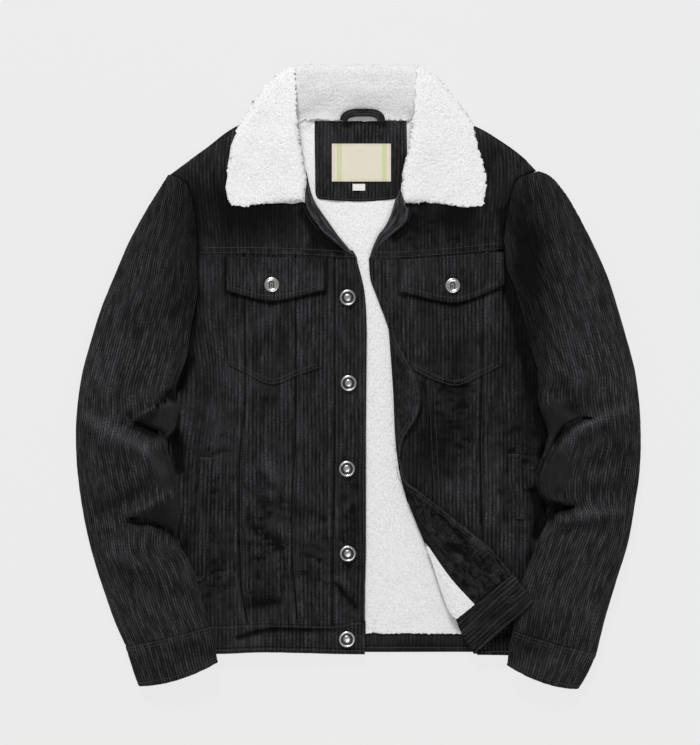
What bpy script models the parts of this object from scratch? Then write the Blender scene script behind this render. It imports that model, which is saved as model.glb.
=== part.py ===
"""Sherpa-lined corduroy jacket, laid open on its back.

Metres, +Z up. The jacket rests on z = 0 with its collar toward +Y and its wearer's right side
toward -X. Outlines and heights are given in millimetres and turned into metres by MM.

The cut pieces lie on each other as they do on a table: the back and its sherpa lining, the two
fronts over it, the collar laid open on the yokes, the sleeves beside and partly over the fronts.
The lower corner of the front on +X is turned back, so it shows its facing, lining and hem band.
"""
import math

import bmesh
import bpy
from mathutils import Vector

MM = 0.001

# ---- cloth, millimetres -------------------------------------------------------------------
BACK_WALL = 1.5          # corduroy of the back, flat on the table
LINING_WALL = 5.0        # sherpa of the back lining
FRONT_WALL = 3.0         # corduroy front with its own lining pressed under it
SLEEVE_WALL = 2.2        # corduroy sleeve with its thin lining
FACING_WALL = 2.4        # doubled corduroy of facings and bands
PATCH_WALL = 1.4         # corduroy patches, flaps and welts
SEAM_GAP = 0.3           # between neighbouring pieces
CROSSING_STEP = 12.0     # between the points read from a seam that crosses the body
LAYER_GAP = 0.5          # between a piece and what lies on it

LINING_FLOOR = BACK_WALL + SEAM_GAP
LINING_TOP = LINING_FLOOR + LINING_WALL
FRONT_FLOOR = LINING_TOP + 0.7
FRONT_LOFT = 5.0         # how far the fronts stand off the lining half way to the side
EDGE_FLOOR = 2.3         # underside of the fronts where they turn down to the back
EDGE_RADIUS = 16.0       # radius of that turn at shoulders and sides

HEM_Y = -334.0

# ---- seams that cross the body: columns x, y ----------------------------------------------
YOKE_SEAM = [(-195, 147), (-118, 147), (-38, 144), (-6, 142), (15, 142), (50, 142), (110, 146), (177, 153)]
WAIST_SEAM = [(-244, -297), (-170, -300), (-118, -298), (-31, -300), (8, -295),
              (113, -298), (148, -299), (190, -300), (242, -297)]
HEM_LINE = [(-244, -332), (-170, -333), (-118, -331), (-70, -332), (4, -334), (139, -334), (242, -336)]
SHOULDER_LINE = [(-227, 243), (-208, 257), (-183, 275), (-143, 303), (-80, 318),
                 (74, 318), (136, 303), (175, 281), (199, 263), (214, 248)]

# ---- seams and edges that run down the body: columns x, y, from hem to collar -------------
LEFT_SIDE = [(-244, -297), (-247, -250), (-254, -172), (-260, -88), (-264, -42), (-240, -26),
             (-218, -8), (-207, 23), (-200, 67), (-194, 101), (-195, 147)]
LEFT_ARMHOLE = [(-195, 147), (-196, 179), (-200, 206), (-207, 231), (-227, 243)]
LEFT_SEAM_A = [(-133, -297), (-141, -253), (-143, -196), (-143, -98), (-136, -30), (-138, 147)]
LEFT_SEAM_B = [(-73, -297), (-80, -215), (-80, -148), (-77, -100), (-75, -3), (-76, 147)]
LEFT_PLACKET_SEAM = [(-31, -299), (-31, -220), (-29, -100), (-29, 92), (-29, 144)]
LEFT_FRONT_EDGE = [(8, -295), (8, -220), (8, -100), (9, 9), (9, 68), (6, 106), (-3, 142)]
LEFT_NECKLINE = [(-6, 142), (-16, 154), (-48, 180), (-65, 208), (-68, 240), (-72, 280), (-80, 318)]

RIGHT_SIDE = [(242, -297), (244, -250), (248, -172), (251, -88), (255, -34), (236, -16),
              (220, -1), (211, 21), (204, 52), (196, 83), (187, 108), (179, 130), (177, 153)]
RIGHT_ARMHOLE = [(177, 153), (176, 172), (182, 206), (190, 235), (214, 248)]
RIGHT_SEAM_A = [(148, -299), (150, -220), (148, -158), (146, -82), (148, -10), (150, 150)]
RIGHT_SEAM_B = [(92, -200), (87, -94), (85, -52), (82, -2), (80, 144)]
RIGHT_SEAM_B_LOW = [(113, -298), (101, -258), (92, -232), (92, -200)]
RIGHT_NECKLINE = [(13, 142), (24, 160), (39, 173), (59, 190), (57, 208), (60, 240), (66, 280), (74, 318)]
ROLL_LINE = [(139, -334), (123, -307), (109, -283), (100, -260), (87, -220), (75, -188), (59, -148),
             (51, -120), (45, -79), (43, -33), (40, 24), (37, 57), (28, 82), (21, 101), (14, 120), (13, 142)]
TURNED_EDGE = [(209, -268), (200, -256), (179, -230), (159, -206), (128, -181), (103, -160), (77, -140),
               (56, -124), (50, -97), (52, -81), (59, -66), (69, -50), (74, -33), (73, -14), (67, 5),
               (56, 24), (46, 44), (42, 57)]
FACING_INNER = [(139, -273), (110, -241), (84, -204), (75, -188)]
TURNED_BAND_TOP = [(117, -291), (139, -273), (184, -235)]

# the body's outline from hem to shoulder, and the part of it that turns down under a sleeve
BODY_EDGE = {"left": [(-244, -340)] + LEFT_SIDE + LEFT_ARMHOLE[1:],
             "right": [(242, -340)] + RIGHT_SIDE + RIGHT_ARMHOLE[1:]}
HIDDEN_EDGE = {"left": BODY_EDGE["left"][:8], "right": BODY_EDGE["right"][:8]}

# ---- collar: columns x, y -----------------------------------------------------------------
COLLAR_LEFT = {
    "outer": [(-157, 214), (-158, 238), (-155, 261), (-151, 282), (-143, 303), (-135, 316),
              (-122, 338), (-99, 363), (-78, 374)],
    "inner": [(-65, 210), (-64, 230), (-65, 254), (-69, 275), (-73, 305), (-75, 335), (-76, 366)],
    "free": [(-157, 214), (-151, 206), (-140, 204), (-123, 207), (-99, 209), (-72, 208), (-65, 210)],
}
COLLAR_RIGHT = {
    "outer": [(151, 210), (153, 234), (149, 258), (142, 283), (136, 303), (127, 322), (112, 340),
              (94, 361), (71, 374)],
    "inner": [(53, 212), (53, 239), (56, 256), (61, 276), (65, 306), (68, 329), (69, 366)],
    "free": [(151, 210), (146, 204), (127, 204), (109, 207), (86, 209), (60, 208), (53, 212)],
}
COLLAR_TOP_Y = 375.0
NECK_SEAM_Y = 309.0
FALL_TOP = 8.0           # top of the collar fall that is folded under the back of the neck
LEAF_CLEARANCE = 0.35    # between the collar's back stretch and the leaves beside it
COLLAR_CREST = 27.0      # height of the roll at the sides of the neck

# ---- sleeves: columns x, y, from shoulder to cuff -----------------------------------------
SLEEVE_LEFT = {
    "outer": [(-229, 243), (-250, 206), (-272, 164), (-290, 120), (-307, 80), (-321, 38), (-332, -4),
              (-338, -55), (-337, -106), (-332, -148), (-322, -199), (-309, -242), (-292, -291),
              (-278, -323)],
    "inner": [(-221, 241), (-207, 231), (-200, 206), (-196, 179), (-195, 148), (-194, 101), (-200, 67),
              (-207, 23), (-220, -16), (-216, -40), (-220, -62), (-231, -78), (-223, -106), (-217, -133),
              (-214, -169), (-217, -197), (-207, -214), (-197, -235), (-187, -271), (-177, -298)],
    "cuff_outer": [(-278, -324), (-271, -347), (-263, -370)],
    "cuff_inner": [(-177, -299), (-174, -318), (-170, -341)],
}
SLEEVE_RIGHT = {
    "outer": [(216, 248), (231, 238), (249, 215), (267, 184), (285, 150), (301, 113), (314, 70),
              (325, 32), (333, -4), (338, -60), (337, -112), (331, -154), (323, -199), (308, -248),
              (295, -292), (286, -333)],
    "inner": [(209, 245), (190, 235), (182, 206), (176, 172), (177, 148), (179, 130), (187, 108),
              (196, 83), (204, 52), (211, 21), (218, -2), (215, -20), (219, -42), (229, -72), (222, -92),
              (214, -117), (216, -139), (228, -156), (226, -174), (218, -190), (211, -209), (202, -230),
              (195, -250), (190, -274), (185, -303)],
    "cuff_outer": [(286, -334), (276, -356), (265, -375)],
    "cuff_inner": [(185, -304), (181, -325), (179, -344)],
}
# columns: part of the sleeve's length, crown height over the seams
SLEEVE_CROWN = [(0.0, 3), (0.08, 14), (0.2, 25), (0.4, 29), (0.6, 29), (0.75, 27), (0.9, 23), (1.0, 20)]
CUFF_CROWN = 17.0
OUTER_SEAM_Z = 8.0       # height of the sleeve's outer seam over the table
INNER_SEAM_RISE = 5.0    # height of its inner seam over the cloth that it lies on
ARMHOLE_END = 0.41       # part of the inner rail that is sewn into the armhole
SEWN_LAP = 0.8           # how far a sleeve's edge laps over the front along the armhole
UNDER_INSET = 2.8        # how far the under sleeve's edge stays behind that lap

# ---- folds: columns x0, y0, x1, y1, height, width -----------------------------------------
FRONT_FOLDS = [
    (-115, -94, -97, -131, 4.0, 13), (-120, -150, -82, -153, -3.0, 10), (-125, -179, -86, -203, -3.5, 11),
    (-67, -158, -38, -169, -2.5, 9), (-165, -255, -149, -245, -3.0, 12), (-131, -275, -94, -269, -3.0, 9),
    (-190, 262, -190, 172, -5.0, 9), (171, 262, 171, 200, -5.0, 9), (-120, -30, -60, -60, 2.5, 22),
    (-160, -120, -150, -215, 3.0, 16), (180, -40, 165, -150, 3.0, 18), (120, -40, 135, -120, 2.5, 15),
]
SLEEVE_FOLDS = [
    (-327, -56, -248, -88, 9.0, 14), (-274, -52, -232, -77, -11.0, 8), (-274, -172, -226, -190, -11.0, 9),
    (-220, -140, -274, -167, 8.0, 13), (-313, -163, -256, -133, -6.0, 14), (-262, 150, -222, 60, -3.5, 14),
    (238, -83, 272, -56, 10.0, 12), (272, -56, 320, -38, 8.0, 13), (229, -27, 277, -48, -8.0, 10),
    (238, -143, 256, -158, -10.0, 9), (238, -172, 308, -160, 8.0, 13), (300, -104, 250, -118, -5.0, 15),
]
TURNED_FOLDS = [
    (96, -172, 110, -192, 2.0, 7), (128, -196, 118, -214, -1.8, 6), (150, -214, 138, -236, 2.0, 7),
    (62, -30, 68, -52, 1.5, 8),
]

# ---- small pieces -------------------------------------------------------------------------
POCKET_LEFT = {"x": (-157, -43), "top": 136, "low": [(-157, 14), (-137, 4), (-104, -10), (-72, 1), (-43, 11)]}
POCKET_RIGHT = {"x": (58, 173), "top": 136, "low": [(58, 12), (84, -2), (117, -12), (146, 0), (173, 13)]}
FLAP_LEFT = {"x": (-158, -41), "top": (144, 142), "low": [(-158, 103), (-104, 91), (-41, 104)]}
FLAP_RIGHT = {"x": (50, 175), "top": (140, 150), "low": [(50, 102), (117, 89), (175, 110)]}
WELT_LEFT = {"left": [(-199, -244), (-195, -160), (-191, -98)], "right": [(-184, -244), (-178, -160), (-175, -98)]}
WELT_RIGHT = {"left": [(188, -170), (181, -130), (179, -94)], "right": [(201, -170), (197, -130), (196, -94)]}
FRONT_BUTTONS = [(-13, 95), (-12, -8), (-14, -111), (-13, -213), (-14, -316)]
FLAP_BUTTONS = {"left": (-104, 110), "right": (113, 109)}
FRONT_BUTTON_RADIUS = 10.0
FLAP_BUTTON_RADIUS = 9.0
BUTTON_SEGMENTS = 20
# columns: part of the radius, height
BUTTON_PROFILE = [(0.55, 0.0), (1.0, 0.9), (1.0, 2.0), (0.82, 3.6), (0.64, 3.6), (0.52, 2.3)]

NECK_FACING_LEFT = {
    "inner": [(-4, 151), (-29, 178), (-52, 211), (-62, 244)],
    "outer": [(-15, 155), (-47, 181), (-64, 209), (-63.5, 244)],
}
NECK_FACING_RIGHT = {
    "inner": [(12, 149), (26, 177), (44, 211), (54, 262)],
    "outer": [(23, 160), (38, 174), (57, 191), (55, 212), (57, 262)],
}
PATCH = {"x": (-53, 58), "y": (214, 308), "sag": 3.0}
LABEL = {"x": (-32, 39), "y": (234, 280)}
SIZE_TAB = {"x": (-7, 8), "y": (223, 231)}
LOOP_ROUTE = [(-17, 310.5, 0.0), (-15, 314, 0.6), (-10, 317.5, 1.6), (-3, 319, 2.4), (6, 319.6, 2.8),
              (15, 319.4, 2.6), (22, 318, 1.8), (26, 314.5, 0.7), (27, 310.5, 0.0)]
LOOP_RADIUS = 2.4
LOOP_FLOOR = 13.2        # height of the collar under the ends of the hanger loop

COLOURS = {
    "corduroy": ((0.020, 0.020, 0.022), 0.85, 0.0),
    "sherpa": ((0.86, 0.86, 0.85), 0.95, 0.0),
    "label": ((0.72, 0.70, 0.58), 0.7, 0.0),
    "metal": ((0.55, 0.55, 0.56), 0.35, 1.0),
}


# ---- curves and grids ---------------------------------------------------------------------
def table_value(table, key):
    """Linear reading of a two-column table, held constant past its ends."""
    if key <= table[0][0]:
        return table[0][1]
    for (k0, v0), (k1, v1) in zip(table, table[1:]):
        if key <= k1:
            return v0 + (v1 - v0) * (key - k0) / (k1 - k0)
    return table[-1][1]


def curve_point(points, i, t):
    """Catmull-Rom point between points i and i + 1."""
    p1, p2 = points[i], points[i + 1]
    p0 = points[i - 1] if i > 0 else p1 * 2 - p2
    p3 = points[i + 2] if i + 2 < len(points) else p2 * 2 - p1
    return (p1 * 2 + (p2 - p0) * t + (p0 * 2 - p1 * 5 + p2 * 4 - p3) * t * t
            + (p1 * 3 - p0 - p2 * 3 + p3) * t ** 3) * 0.5


def smooth(table, parts, steps=12):
    """Even lengths along a smooth curve through a table's points, as parts + 1 vectors.

    parts may also be a list of fractions of the whole length.
    """
    points = [Vector(p) for p in table]
    fine = [curve_point(points, i, k / steps) for i in range(len(points) - 1) for k in range(steps)]
    fine.append(points[-1])
    lengths = [0.0]
    for a, b in zip(fine, fine[1:]):
        lengths.append(lengths[-1] + (b - a).length)
    wanted = [k / parts for k in range(parts + 1)] if isinstance(parts, int) else parts
    out, i = [], 0
    for share in wanted:
        goal = share * lengths[-1]
        while i < len(fine) - 2 and lengths[i + 1] < goal:
            i += 1
        run = lengths[i + 1] - lengths[i]
        out.append(fine[i].lerp(fine[i + 1], (goal - lengths[i]) / run if run else 0.0))
    return out


def eased(parts):
    """Fractions from 0 to 1, closer together at both ends."""
    return [(1 - math.cos(math.pi * k / parts)) / 2 for k in range(parts + 1)]


def even(parts):
    return [k / parts for k in range(parts + 1)]


def between(table, x0, x1):
    """The stretch of a crossing seam from x0 to x1, in even steps."""
    whole = [tuple(p) for p in smooth(table, 60)]
    steps = max(2, round((x1 - x0) / CROSSING_STEP))
    return [(x, table_value(whole, x)) for x in (x0 + (x1 - x0) * k / steps for k in range(steps + 1))]


def patch(left, right, bottom, top, us, vs):
    """Grid of points in a four-sided outline, blended from its sides (rows run left to right)."""
    lefts, rights = smooth(left, vs), smooth(right, vs)
    bottoms, tops = smooth(bottom, us), smooth(top, us)
    c00, c10, c01, c11 = lefts[0], rights[0], lefts[-1], rights[-1]
    rows = []
    for j, v in enumerate(vs):
        row = []
        for i, u in enumerate(us):
            sides = lefts[j] * (1 - u) + rights[j] * u + bottoms[i] * (1 - v) + tops[i] * v
            corners = (c00 * (1 - u) + c10 * u) * (1 - v) + (c01 * (1 - u) + c11 * u) * v
            row.append(sides - corners)
        rows.append(row)
    return rows


def drawn_in(rows, gap):
    """The same grid with its border moved inward by gap."""
    out = [[p.copy() for p in row] for row in rows]
    last_j, last_i = len(rows) - 1, len(rows[0]) - 1
    for j in range(last_j + 1):
        out[j][0] += (rows[j][1] - rows[j][0]).normalized() * gap
        out[j][last_i] += (rows[j][last_i - 1] - rows[j][last_i]).normalized() * gap
    for i in range(last_i + 1):
        out[0][i] += (rows[1][i] - rows[0][i]).normalized() * gap
        out[last_j][i] += (rows[last_j - 1][i] - rows[last_j][i]).normalized() * gap
    return out


def rim_distance(rows):
    """For each grid point, its distance to the border along the grid's lines."""
    last_j, last_i = len(rows) - 1, len(rows[0]) - 1
    out = [[0.0] * (last_i + 1) for _ in rows]
    for j in range(last_j + 1):
        for i in range(last_i + 1):
            p = rows[j][i]
            ends = (rows[j][0], rows[j][last_i], rows[0][i], rows[last_j][i])
            out[j][i] = min((p - e).length for e in ends)
    return out


# ---- heights ------------------------------------------------------------------------------
def ramp(value, start, end):
    """Smooth step from 0 at start to 1 at end."""
    t = min(1.0, max(0.0, (value - start) / (end - start)))
    return t * t * (3 - 2 * t)


def quarter(share):
    """Quarter round: 0 at 0, 1 at 1."""
    share = min(1.0, max(0.0, share))
    return math.sqrt(1 - (1 - share) ** 2)


def fold_height(table, x, y):
    total = 0.0
    for x0, y0, x1, y1, height, width in table:
        dx, dy = x1 - x0, y1 - y0
        along = ((x - x0) * dx + (y - y0) * dy) / (dx * dx + dy * dy)
        along = min(1.0, max(0.0, along))
        away = math.hypot(x - x0 - along * dx, y - y0 - along * dy)
        total += height * math.exp(-((away / width) ** 2))
    return total


def away_from(line, x, y):
    """Distance from a point to a line of points."""
    best = math.inf
    for (x0, y0), (x1, y1) in zip(line, line[1:]):
        dx, dy = x1 - x0, y1 - y0
        along = min(1.0, max(0.0, ((x - x0) * dx + (y - y0) * dy) / (dx * dx + dy * dy)))
        best = min(best, math.hypot(x - x0 - along * dx, y - y0 - along * dy))
    return best


def is_wide(side, x, y):
    """Whether a point lies further out than the body's side or armhole at its height."""
    return abs(x) > table_value([(q, abs(p)) for p, q in BODY_EDGE[side]], y)


def body_depth(x, y):
    """Distance into the body from its side, armhole or hem, negative outside it."""
    side = "left" if x < 0 else "right"
    depth = away_from(BODY_EDGE[side], x, y)
    return min(-depth if is_wide(side, x, y) else depth, y - HEM_Y)


def inside_turn(x, y):
    """How far a point lies inside the edges that turn down to the back: shoulders and sides."""
    side = "left" if x < 0 else "right"
    depth = away_from(HIDDEN_EDGE[side], x, y)
    if y < HIDDEN_EDGE[side][-1][1] and is_wide(side, x, y):
        depth = -depth
    return min(depth, 0.8 * (table_value(SHOULDER_LINE, x) - y))


def front_floor(x, y):
    """Underside of the fronts and yokes."""
    across = (abs(x) - 130) / 130
    loft = FRONT_LOFT * max(0.0, 1 - across * across)
    full = FRONT_FLOOR + max(0.0, loft + fold_height(FRONT_FOLDS, x, y))
    return EDGE_FLOOR + (full - EDGE_FLOOR) * quarter(inside_turn(x, y) / EDGE_RADIUS)


def front_top(x, y):
    return front_floor(x, y) + FRONT_WALL


def sleeve_support(x, y):
    """What the underside of a sleeve lies on: the table, or the side of the body and its hem."""
    inner_x = math.copysign(min(abs(x), 225), x)
    height = front_top(inner_x, min(-60, max(y, HEM_Y + 20))) + 1.5
    sewn = ramp(y, 20, 60)                       # beside the armhole it starts low, at the back
    return height * ramp(body_depth(x, y), -32, -5) * (1 - 0.85 * sewn)


def roll_x(y):
    return table_value([(q, p) for p, q in ROLL_LINE], y)


def turned_floor(x, y):
    """Underside of the turned-back corner: on the front, then up over the sleeve's edge."""
    roll = 5.0 * (1 - math.exp(-max(0.0, x - roll_x(y)) / 9.0))
    lift = 18.0 * ramp(x, 158, 204) * ramp(y, -150, -220)
    return front_top(x, y) + 1.2 + roll + lift + fold_height(TURNED_FOLDS, x, y)


# ---- solids -------------------------------------------------------------------------------
def material(kind):
    found = bpy.data.materials.get(kind)
    if found:
        return found.copy()
    colour, roughness, metallic = COLOURS[kind]
    made = bpy.data.materials.new(kind)
    made.use_nodes = True
    shader = made.node_tree.nodes["Principled BSDF"]
    shader.inputs["Base Color"].default_value = (*colour, 1.0)
    shader.inputs["Roughness"].default_value = roughness
    shader.inputs["Metallic"].default_value = metallic
    return made


def place(name, kind, verts, faces):
    """A mesh object whose origin is at the middle of its box."""
    low = [min(v[k] for v in verts) for k in range(3)]
    high = [max(v[k] for v in verts) for k in range(3)]
    middle = Vector([(a + b) / 2 for a, b in zip(low, high)])
    mesh = bpy.data.meshes.new(name)
    mesh.from_pydata([(Vector(v) - middle) * MM for v in verts], [], faces)
    shape = bmesh.new()
    shape.from_mesh(mesh)
    bmesh.ops.recalc_face_normals(shape, faces=shape.faces)
    shape.to_mesh(mesh)
    shape.free()
    mesh.shade_smooth()
    mesh.set_sharp_from_angle(angle=math.radians(50))
    thing = bpy.data.objects.new(name, mesh)
    thing.location = middle * MM
    mesh.materials.append(material(kind))
    bpy.context.collection.objects.link(thing)
    thing.parent = jacket
    return thing


def slab(name, kind, rows, floor, top):
    """Closed cloth between two heights over a grid; top also gets the distance to the border."""
    rims = rim_distance(rows)
    wide = len(rows[0])
    count = wide * len(rows)
    low = [(p.x, p.y, floor(p.x, p.y)) for row in rows for p in row]
    high = [(p.x, p.y, top(p.x, p.y, rim)) for row, line in zip(rows, rims) for p, rim in zip(row, line)]
    faces = []
    for j in range(len(rows) - 1):
        for i in range(wide - 1):
            a, b = j * wide + i, j * wide + i + 1
            c, d = b + wide, a + wide
            faces += [(a, d, c, b), (a + count, b + count, c + count, d + count)]
    border = list(range(wide))
    border += [j * wide + wide - 1 for j in range(1, len(rows))]
    border += [count - 1 - i for i in range(1, wide)]
    border += [j * wide for j in range(len(rows) - 2, 0, -1)]
    faces += [(a, b, b + count, a + count) for a, b in zip(border, border[1:] + border[:1])]
    return place(name, kind, low + high, faces)


def lying(name, kind, rows, floor, wall):
    """Cloth of one wall thickness over a floor."""
    return slab(name, kind, rows, floor, lambda x, y, rim: floor(x, y) + wall)


def flat_piece(name, kind, outline, z0, z1):
    """Flat cloth: an outline raised from z0 to z1."""
    count = len(outline)
    verts = [(x, y, z) for z in (z0, z1) for x, y in outline]
    faces = [tuple(range(count)), tuple(range(count, 2 * count))]
    faces += [(i, (i + 1) % count, count + (i + 1) % count, count + i) for i in range(count)]
    return place(name, kind, verts, faces)


def grid_normals(rows, ring):
    """Unit normals of a grid of 3-D points, from the differences to each point's neighbours."""
    wide, last = len(rows[0]), len(rows) - 1
    normals = []
    for j, row in enumerate(rows):
        line = []
        for i in range(wide):
            before = row[(i - 1) % wide] if ring else row[max(i - 1, 0)]
            after = row[(i + 1) % wide] if ring else row[min(i + 1, wide - 1)]
            along = rows[min(j + 1, last)][i] - rows[max(j - 1, 0)][i]
            line.append((after - before).cross(along).normalized())
        normals.append(line)
    return normals


def shell(name, kind, rows, wall, inward, ring=False):
    """Cloth wall of even thickness, grown from an outer surface to the side that inward names.

    inward is 1 or -1, along the grid's own normals. At a seam that stands upright the wall
    grows level, so two such walls meet face to face.
    """
    wide, count = len(rows[0]), len(rows) * len(rows[0])
    normals = grid_normals(rows, ring)
    inner = []
    for row, line in zip(rows, normals):
        for i, (p, n) in enumerate(zip(row, line)):
            at_seam = not ring and i in (0, wide - 1)
            if at_seam and abs(n.z) < LEVEL_LIMIT:
                n = Vector((n.x, n.y, 0.0)).normalized()
            inner.append(tuple(p + n * wall * inward))
    faces = []
    for j in range(len(rows) - 1):
        for i in range(wide if ring else wide - 1):
            k = (i + 1) % wide
            a, b, c, d = j * wide + i, j * wide + k, (j + 1) * wide + k, (j + 1) * wide + i
            faces += [(a, b, c, d), (a + count, d + count, c + count, b + count)]
    last = count - wide
    loops = range(wide if ring else wide - 1)
    for i in loops:
        k = (i + 1) % wide
        faces += [(i, i + count, k + count, k), (last + k, last + k + count, last + i + count, last + i)]
    if not ring:
        for j in range(len(rows) - 1):
            a, b = j * wide, (j + 1) * wide
            c, d = a + wide - 1, b + wide - 1
            faces += [(b, b + count, a + count, a), (c, c + count, d + count, d)]
    return place(name, kind, [tuple(p) for row in rows for p in row] + inner, faces)


# ---- back, lining and neck ----------------------------------------------------------------
def make_back():
    left = smooth(LEFT_SIDE, 16) + smooth(LEFT_ARMHOLE, 5)[1:]
    right = smooth(RIGHT_SIDE, 16) + smooth(RIGHT_ARMHOLE, 5)[1:]
    shoulders = smooth(SHOULDER_LINE, 14)[1:-1]
    waist = smooth(between(WAIST_SEAM, LEFT_SIDE[0][0], RIGHT_SIDE[0][0]), 10)[1:-1]
    outline = [Vector(p) for p in waist] + list(right) + shoulders[::-1] + left[::-1]
    inset = [Vector((p.x - math.copysign(1.2, p.x), p.y - (1.5 if p.y > 150 else 0.0))) for p in outline]
    below_neck = [(p.x, min(p.y, NECK_SEAM_Y - SEAM_GAP)) for p in inset]
    flat_piece("back_panel", "corduroy", below_neck, 0.0, BACK_WALL)

    top = smooth(between(WAIST_SEAM, LEFT_SIDE[0][0] + 2, RIGHT_SIDE[0][0] - 2), 10)
    bottom = smooth(between(HEM_LINE, LEFT_SIDE[0][0] + 2, RIGHT_SIDE[0][0] - 2), 10)
    band = [(p.x, p.y - SEAM_GAP) for p in top] + [(p.x, p.y + 1) for p in bottom[::-1]]
    flat_piece("waistband_back", "corduroy", band, 0.0, BACK_WALL)


def make_lining():
    left = [(-224, -308), (-232, -172), (-234, -80), (-196, -14), (-180, 50), (-173, 104), (-173, 160),
            (-178, 200), (-190, 226)]
    right = [(222, -308), (226, -172), (226, -70), (194, -14), (182, 50), (160, 104), (154, 160),
             (160, 200), (178, 230)]
    bottom = [(-224, -308), (222, -308)]
    top = [(-190, 226), (-140, 272), (-80, 300), (-60, 308), (60, 308), (80, 300), (130, 272), (178, 230)]
    rows = patch(left, right, bottom, top, even(12), even(12))
    lying("back_lining", "sherpa", rows, lambda x, y: LINING_FLOOR, LINING_WALL)
    band = patch([(-224, -331), (-224, -309)], [(222, -331), (222, -309)], [(-224, -331), (222, -331)],
                 [(-224, -309), (222, -309)], even(6), even(1))
    lying("waistband_back_inside", "corduroy", band, lambda x, y: LINING_FLOOR, FACING_WALL)


def neck_facing_floor(x, y):
    """The facing ends lie on the lining and, further up, on the corners of the neck patch."""
    return LINING_TOP + 0.6 + (PATCH_WALL + 0.3) * ramp(y, 192, 206)


def make_neck():
    x0, x1 = PATCH["x"]
    y0, y1 = PATCH["y"]
    floor = LINING_TOP + SEAM_GAP
    low = [(x0, y0 + 3), (x0 + 3, y0), ((x0 + x1) / 2, y0 - PATCH["sag"]), (x1 - 12, y0), (x1 - 8, y0 + 3)]
    rows = patch([low[0], (x0, y1)], [low[-1], (x1, y1)], low, [(x0, y1), (x1, y1)], even(6), even(4))
    lying("neck_patch", "corduroy", rows, lambda x, y: floor, PATCH_WALL)
    label_floor = floor + PATCH_WALL + SEAM_GAP
    for name, box in (("neck_label", LABEL), ("size_tab", SIZE_TAB)):
        (a, b), (c, d) = box["x"], box["y"]
        flat_piece(name, "label", [(a, c), (b, c), (b, d), (a, d)], label_floor, label_floor + 0.8)

    for side, strip in (("left", NECK_FACING_LEFT), ("right", NECK_FACING_RIGHT)):
        first, second = strip["outer"], strip["inner"]
        rows = patch(first, second, [first[0], second[0]], [first[-1], second[-1]], even(2), even(10))
        lying("neck_facing_" + side, "corduroy", drawn_in(rows, 2 * SEAM_GAP), neck_facing_floor, FACING_WALL)


# ---- fronts -------------------------------------------------------------------------------
def front_piece(name, left, right, top, bottom, columns, count):
    rows = patch(left, right, bottom, top, even(columns), even(count))
    lying(name, "corduroy", drawn_in(rows, SEAM_GAP), front_floor, FRONT_WALL)


def crossing(table, left, right, end):
    """Part of a crossing seam between the ends of two seams that run down the body."""
    return between(table, left[end][0], right[end][0])


def make_fronts():
    runs = [("front_left_side", LEFT_SIDE, LEFT_SEAM_A, 5), ("front_left_middle", LEFT_SEAM_A, LEFT_SEAM_B, 4),
            ("front_left_centre", LEFT_SEAM_B, LEFT_PLACKET_SEAM, 3),
            ("placket_left", LEFT_PLACKET_SEAM, LEFT_FRONT_EDGE, 2)]
    for name, left, right, columns in runs:
        front_piece(name, left, right, crossing(YOKE_SEAM, left, right, -1),
                    crossing(WAIST_SEAM, left, right, 0), columns, 18)
    middle_left = RIGHT_SEAM_B_LOW + RIGHT_SEAM_B[1:]
    front_piece("front_right_middle", middle_left, RIGHT_SEAM_A, crossing(YOKE_SEAM, middle_left, RIGHT_SEAM_A, -1),
                crossing(WAIST_SEAM, middle_left, RIGHT_SEAM_A, 0), 4, 18)
    front_piece("front_right_side", RIGHT_SEAM_A, RIGHT_SIDE, crossing(YOKE_SEAM, RIGHT_SEAM_A, RIGHT_SIDE, -1),
                crossing(WAIST_SEAM, RIGHT_SEAM_A, RIGHT_SIDE, 0), 5, 18)
    roll = [(80, -200)] + [p for p in ROLL_LINE if p[1] > -190]
    front_piece("front_right_centre", roll, RIGHT_SEAM_B, crossing(YOKE_SEAM, roll, RIGHT_SEAM_B, -1),
                [(80, -200), (92, -200)], 3, 16)
    front_piece("yoke_left", LEFT_ARMHOLE, LEFT_NECKLINE, between(SHOULDER_LINE, -227, -80),
                between(YOKE_SEAM, -195, -6), 10, 10)
    front_piece("yoke_right", RIGHT_NECKLINE, RIGHT_ARMHOLE, between(SHOULDER_LINE, 74, 214),
                between(YOKE_SEAM, 13, 177), 9, 10)


def make_waistbands():
    for name, x0, x1, low in (("waistband_left", -244, 8, -244), ("waistband_right", 113, 242, 139)):
        top = between(WAIST_SEAM, x0, x1)
        bottom = between(HEM_LINE, x0 if x0 < 0 else low, x1)
        columns = round((x1 - x0) / 22)
        rows = patch([bottom[0], top[0]], [bottom[-1], top[-1]], bottom, top, even(columns), even(2))
        lying(name, "corduroy", drawn_in(rows, SEAM_GAP), front_floor, FRONT_WALL)


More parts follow.
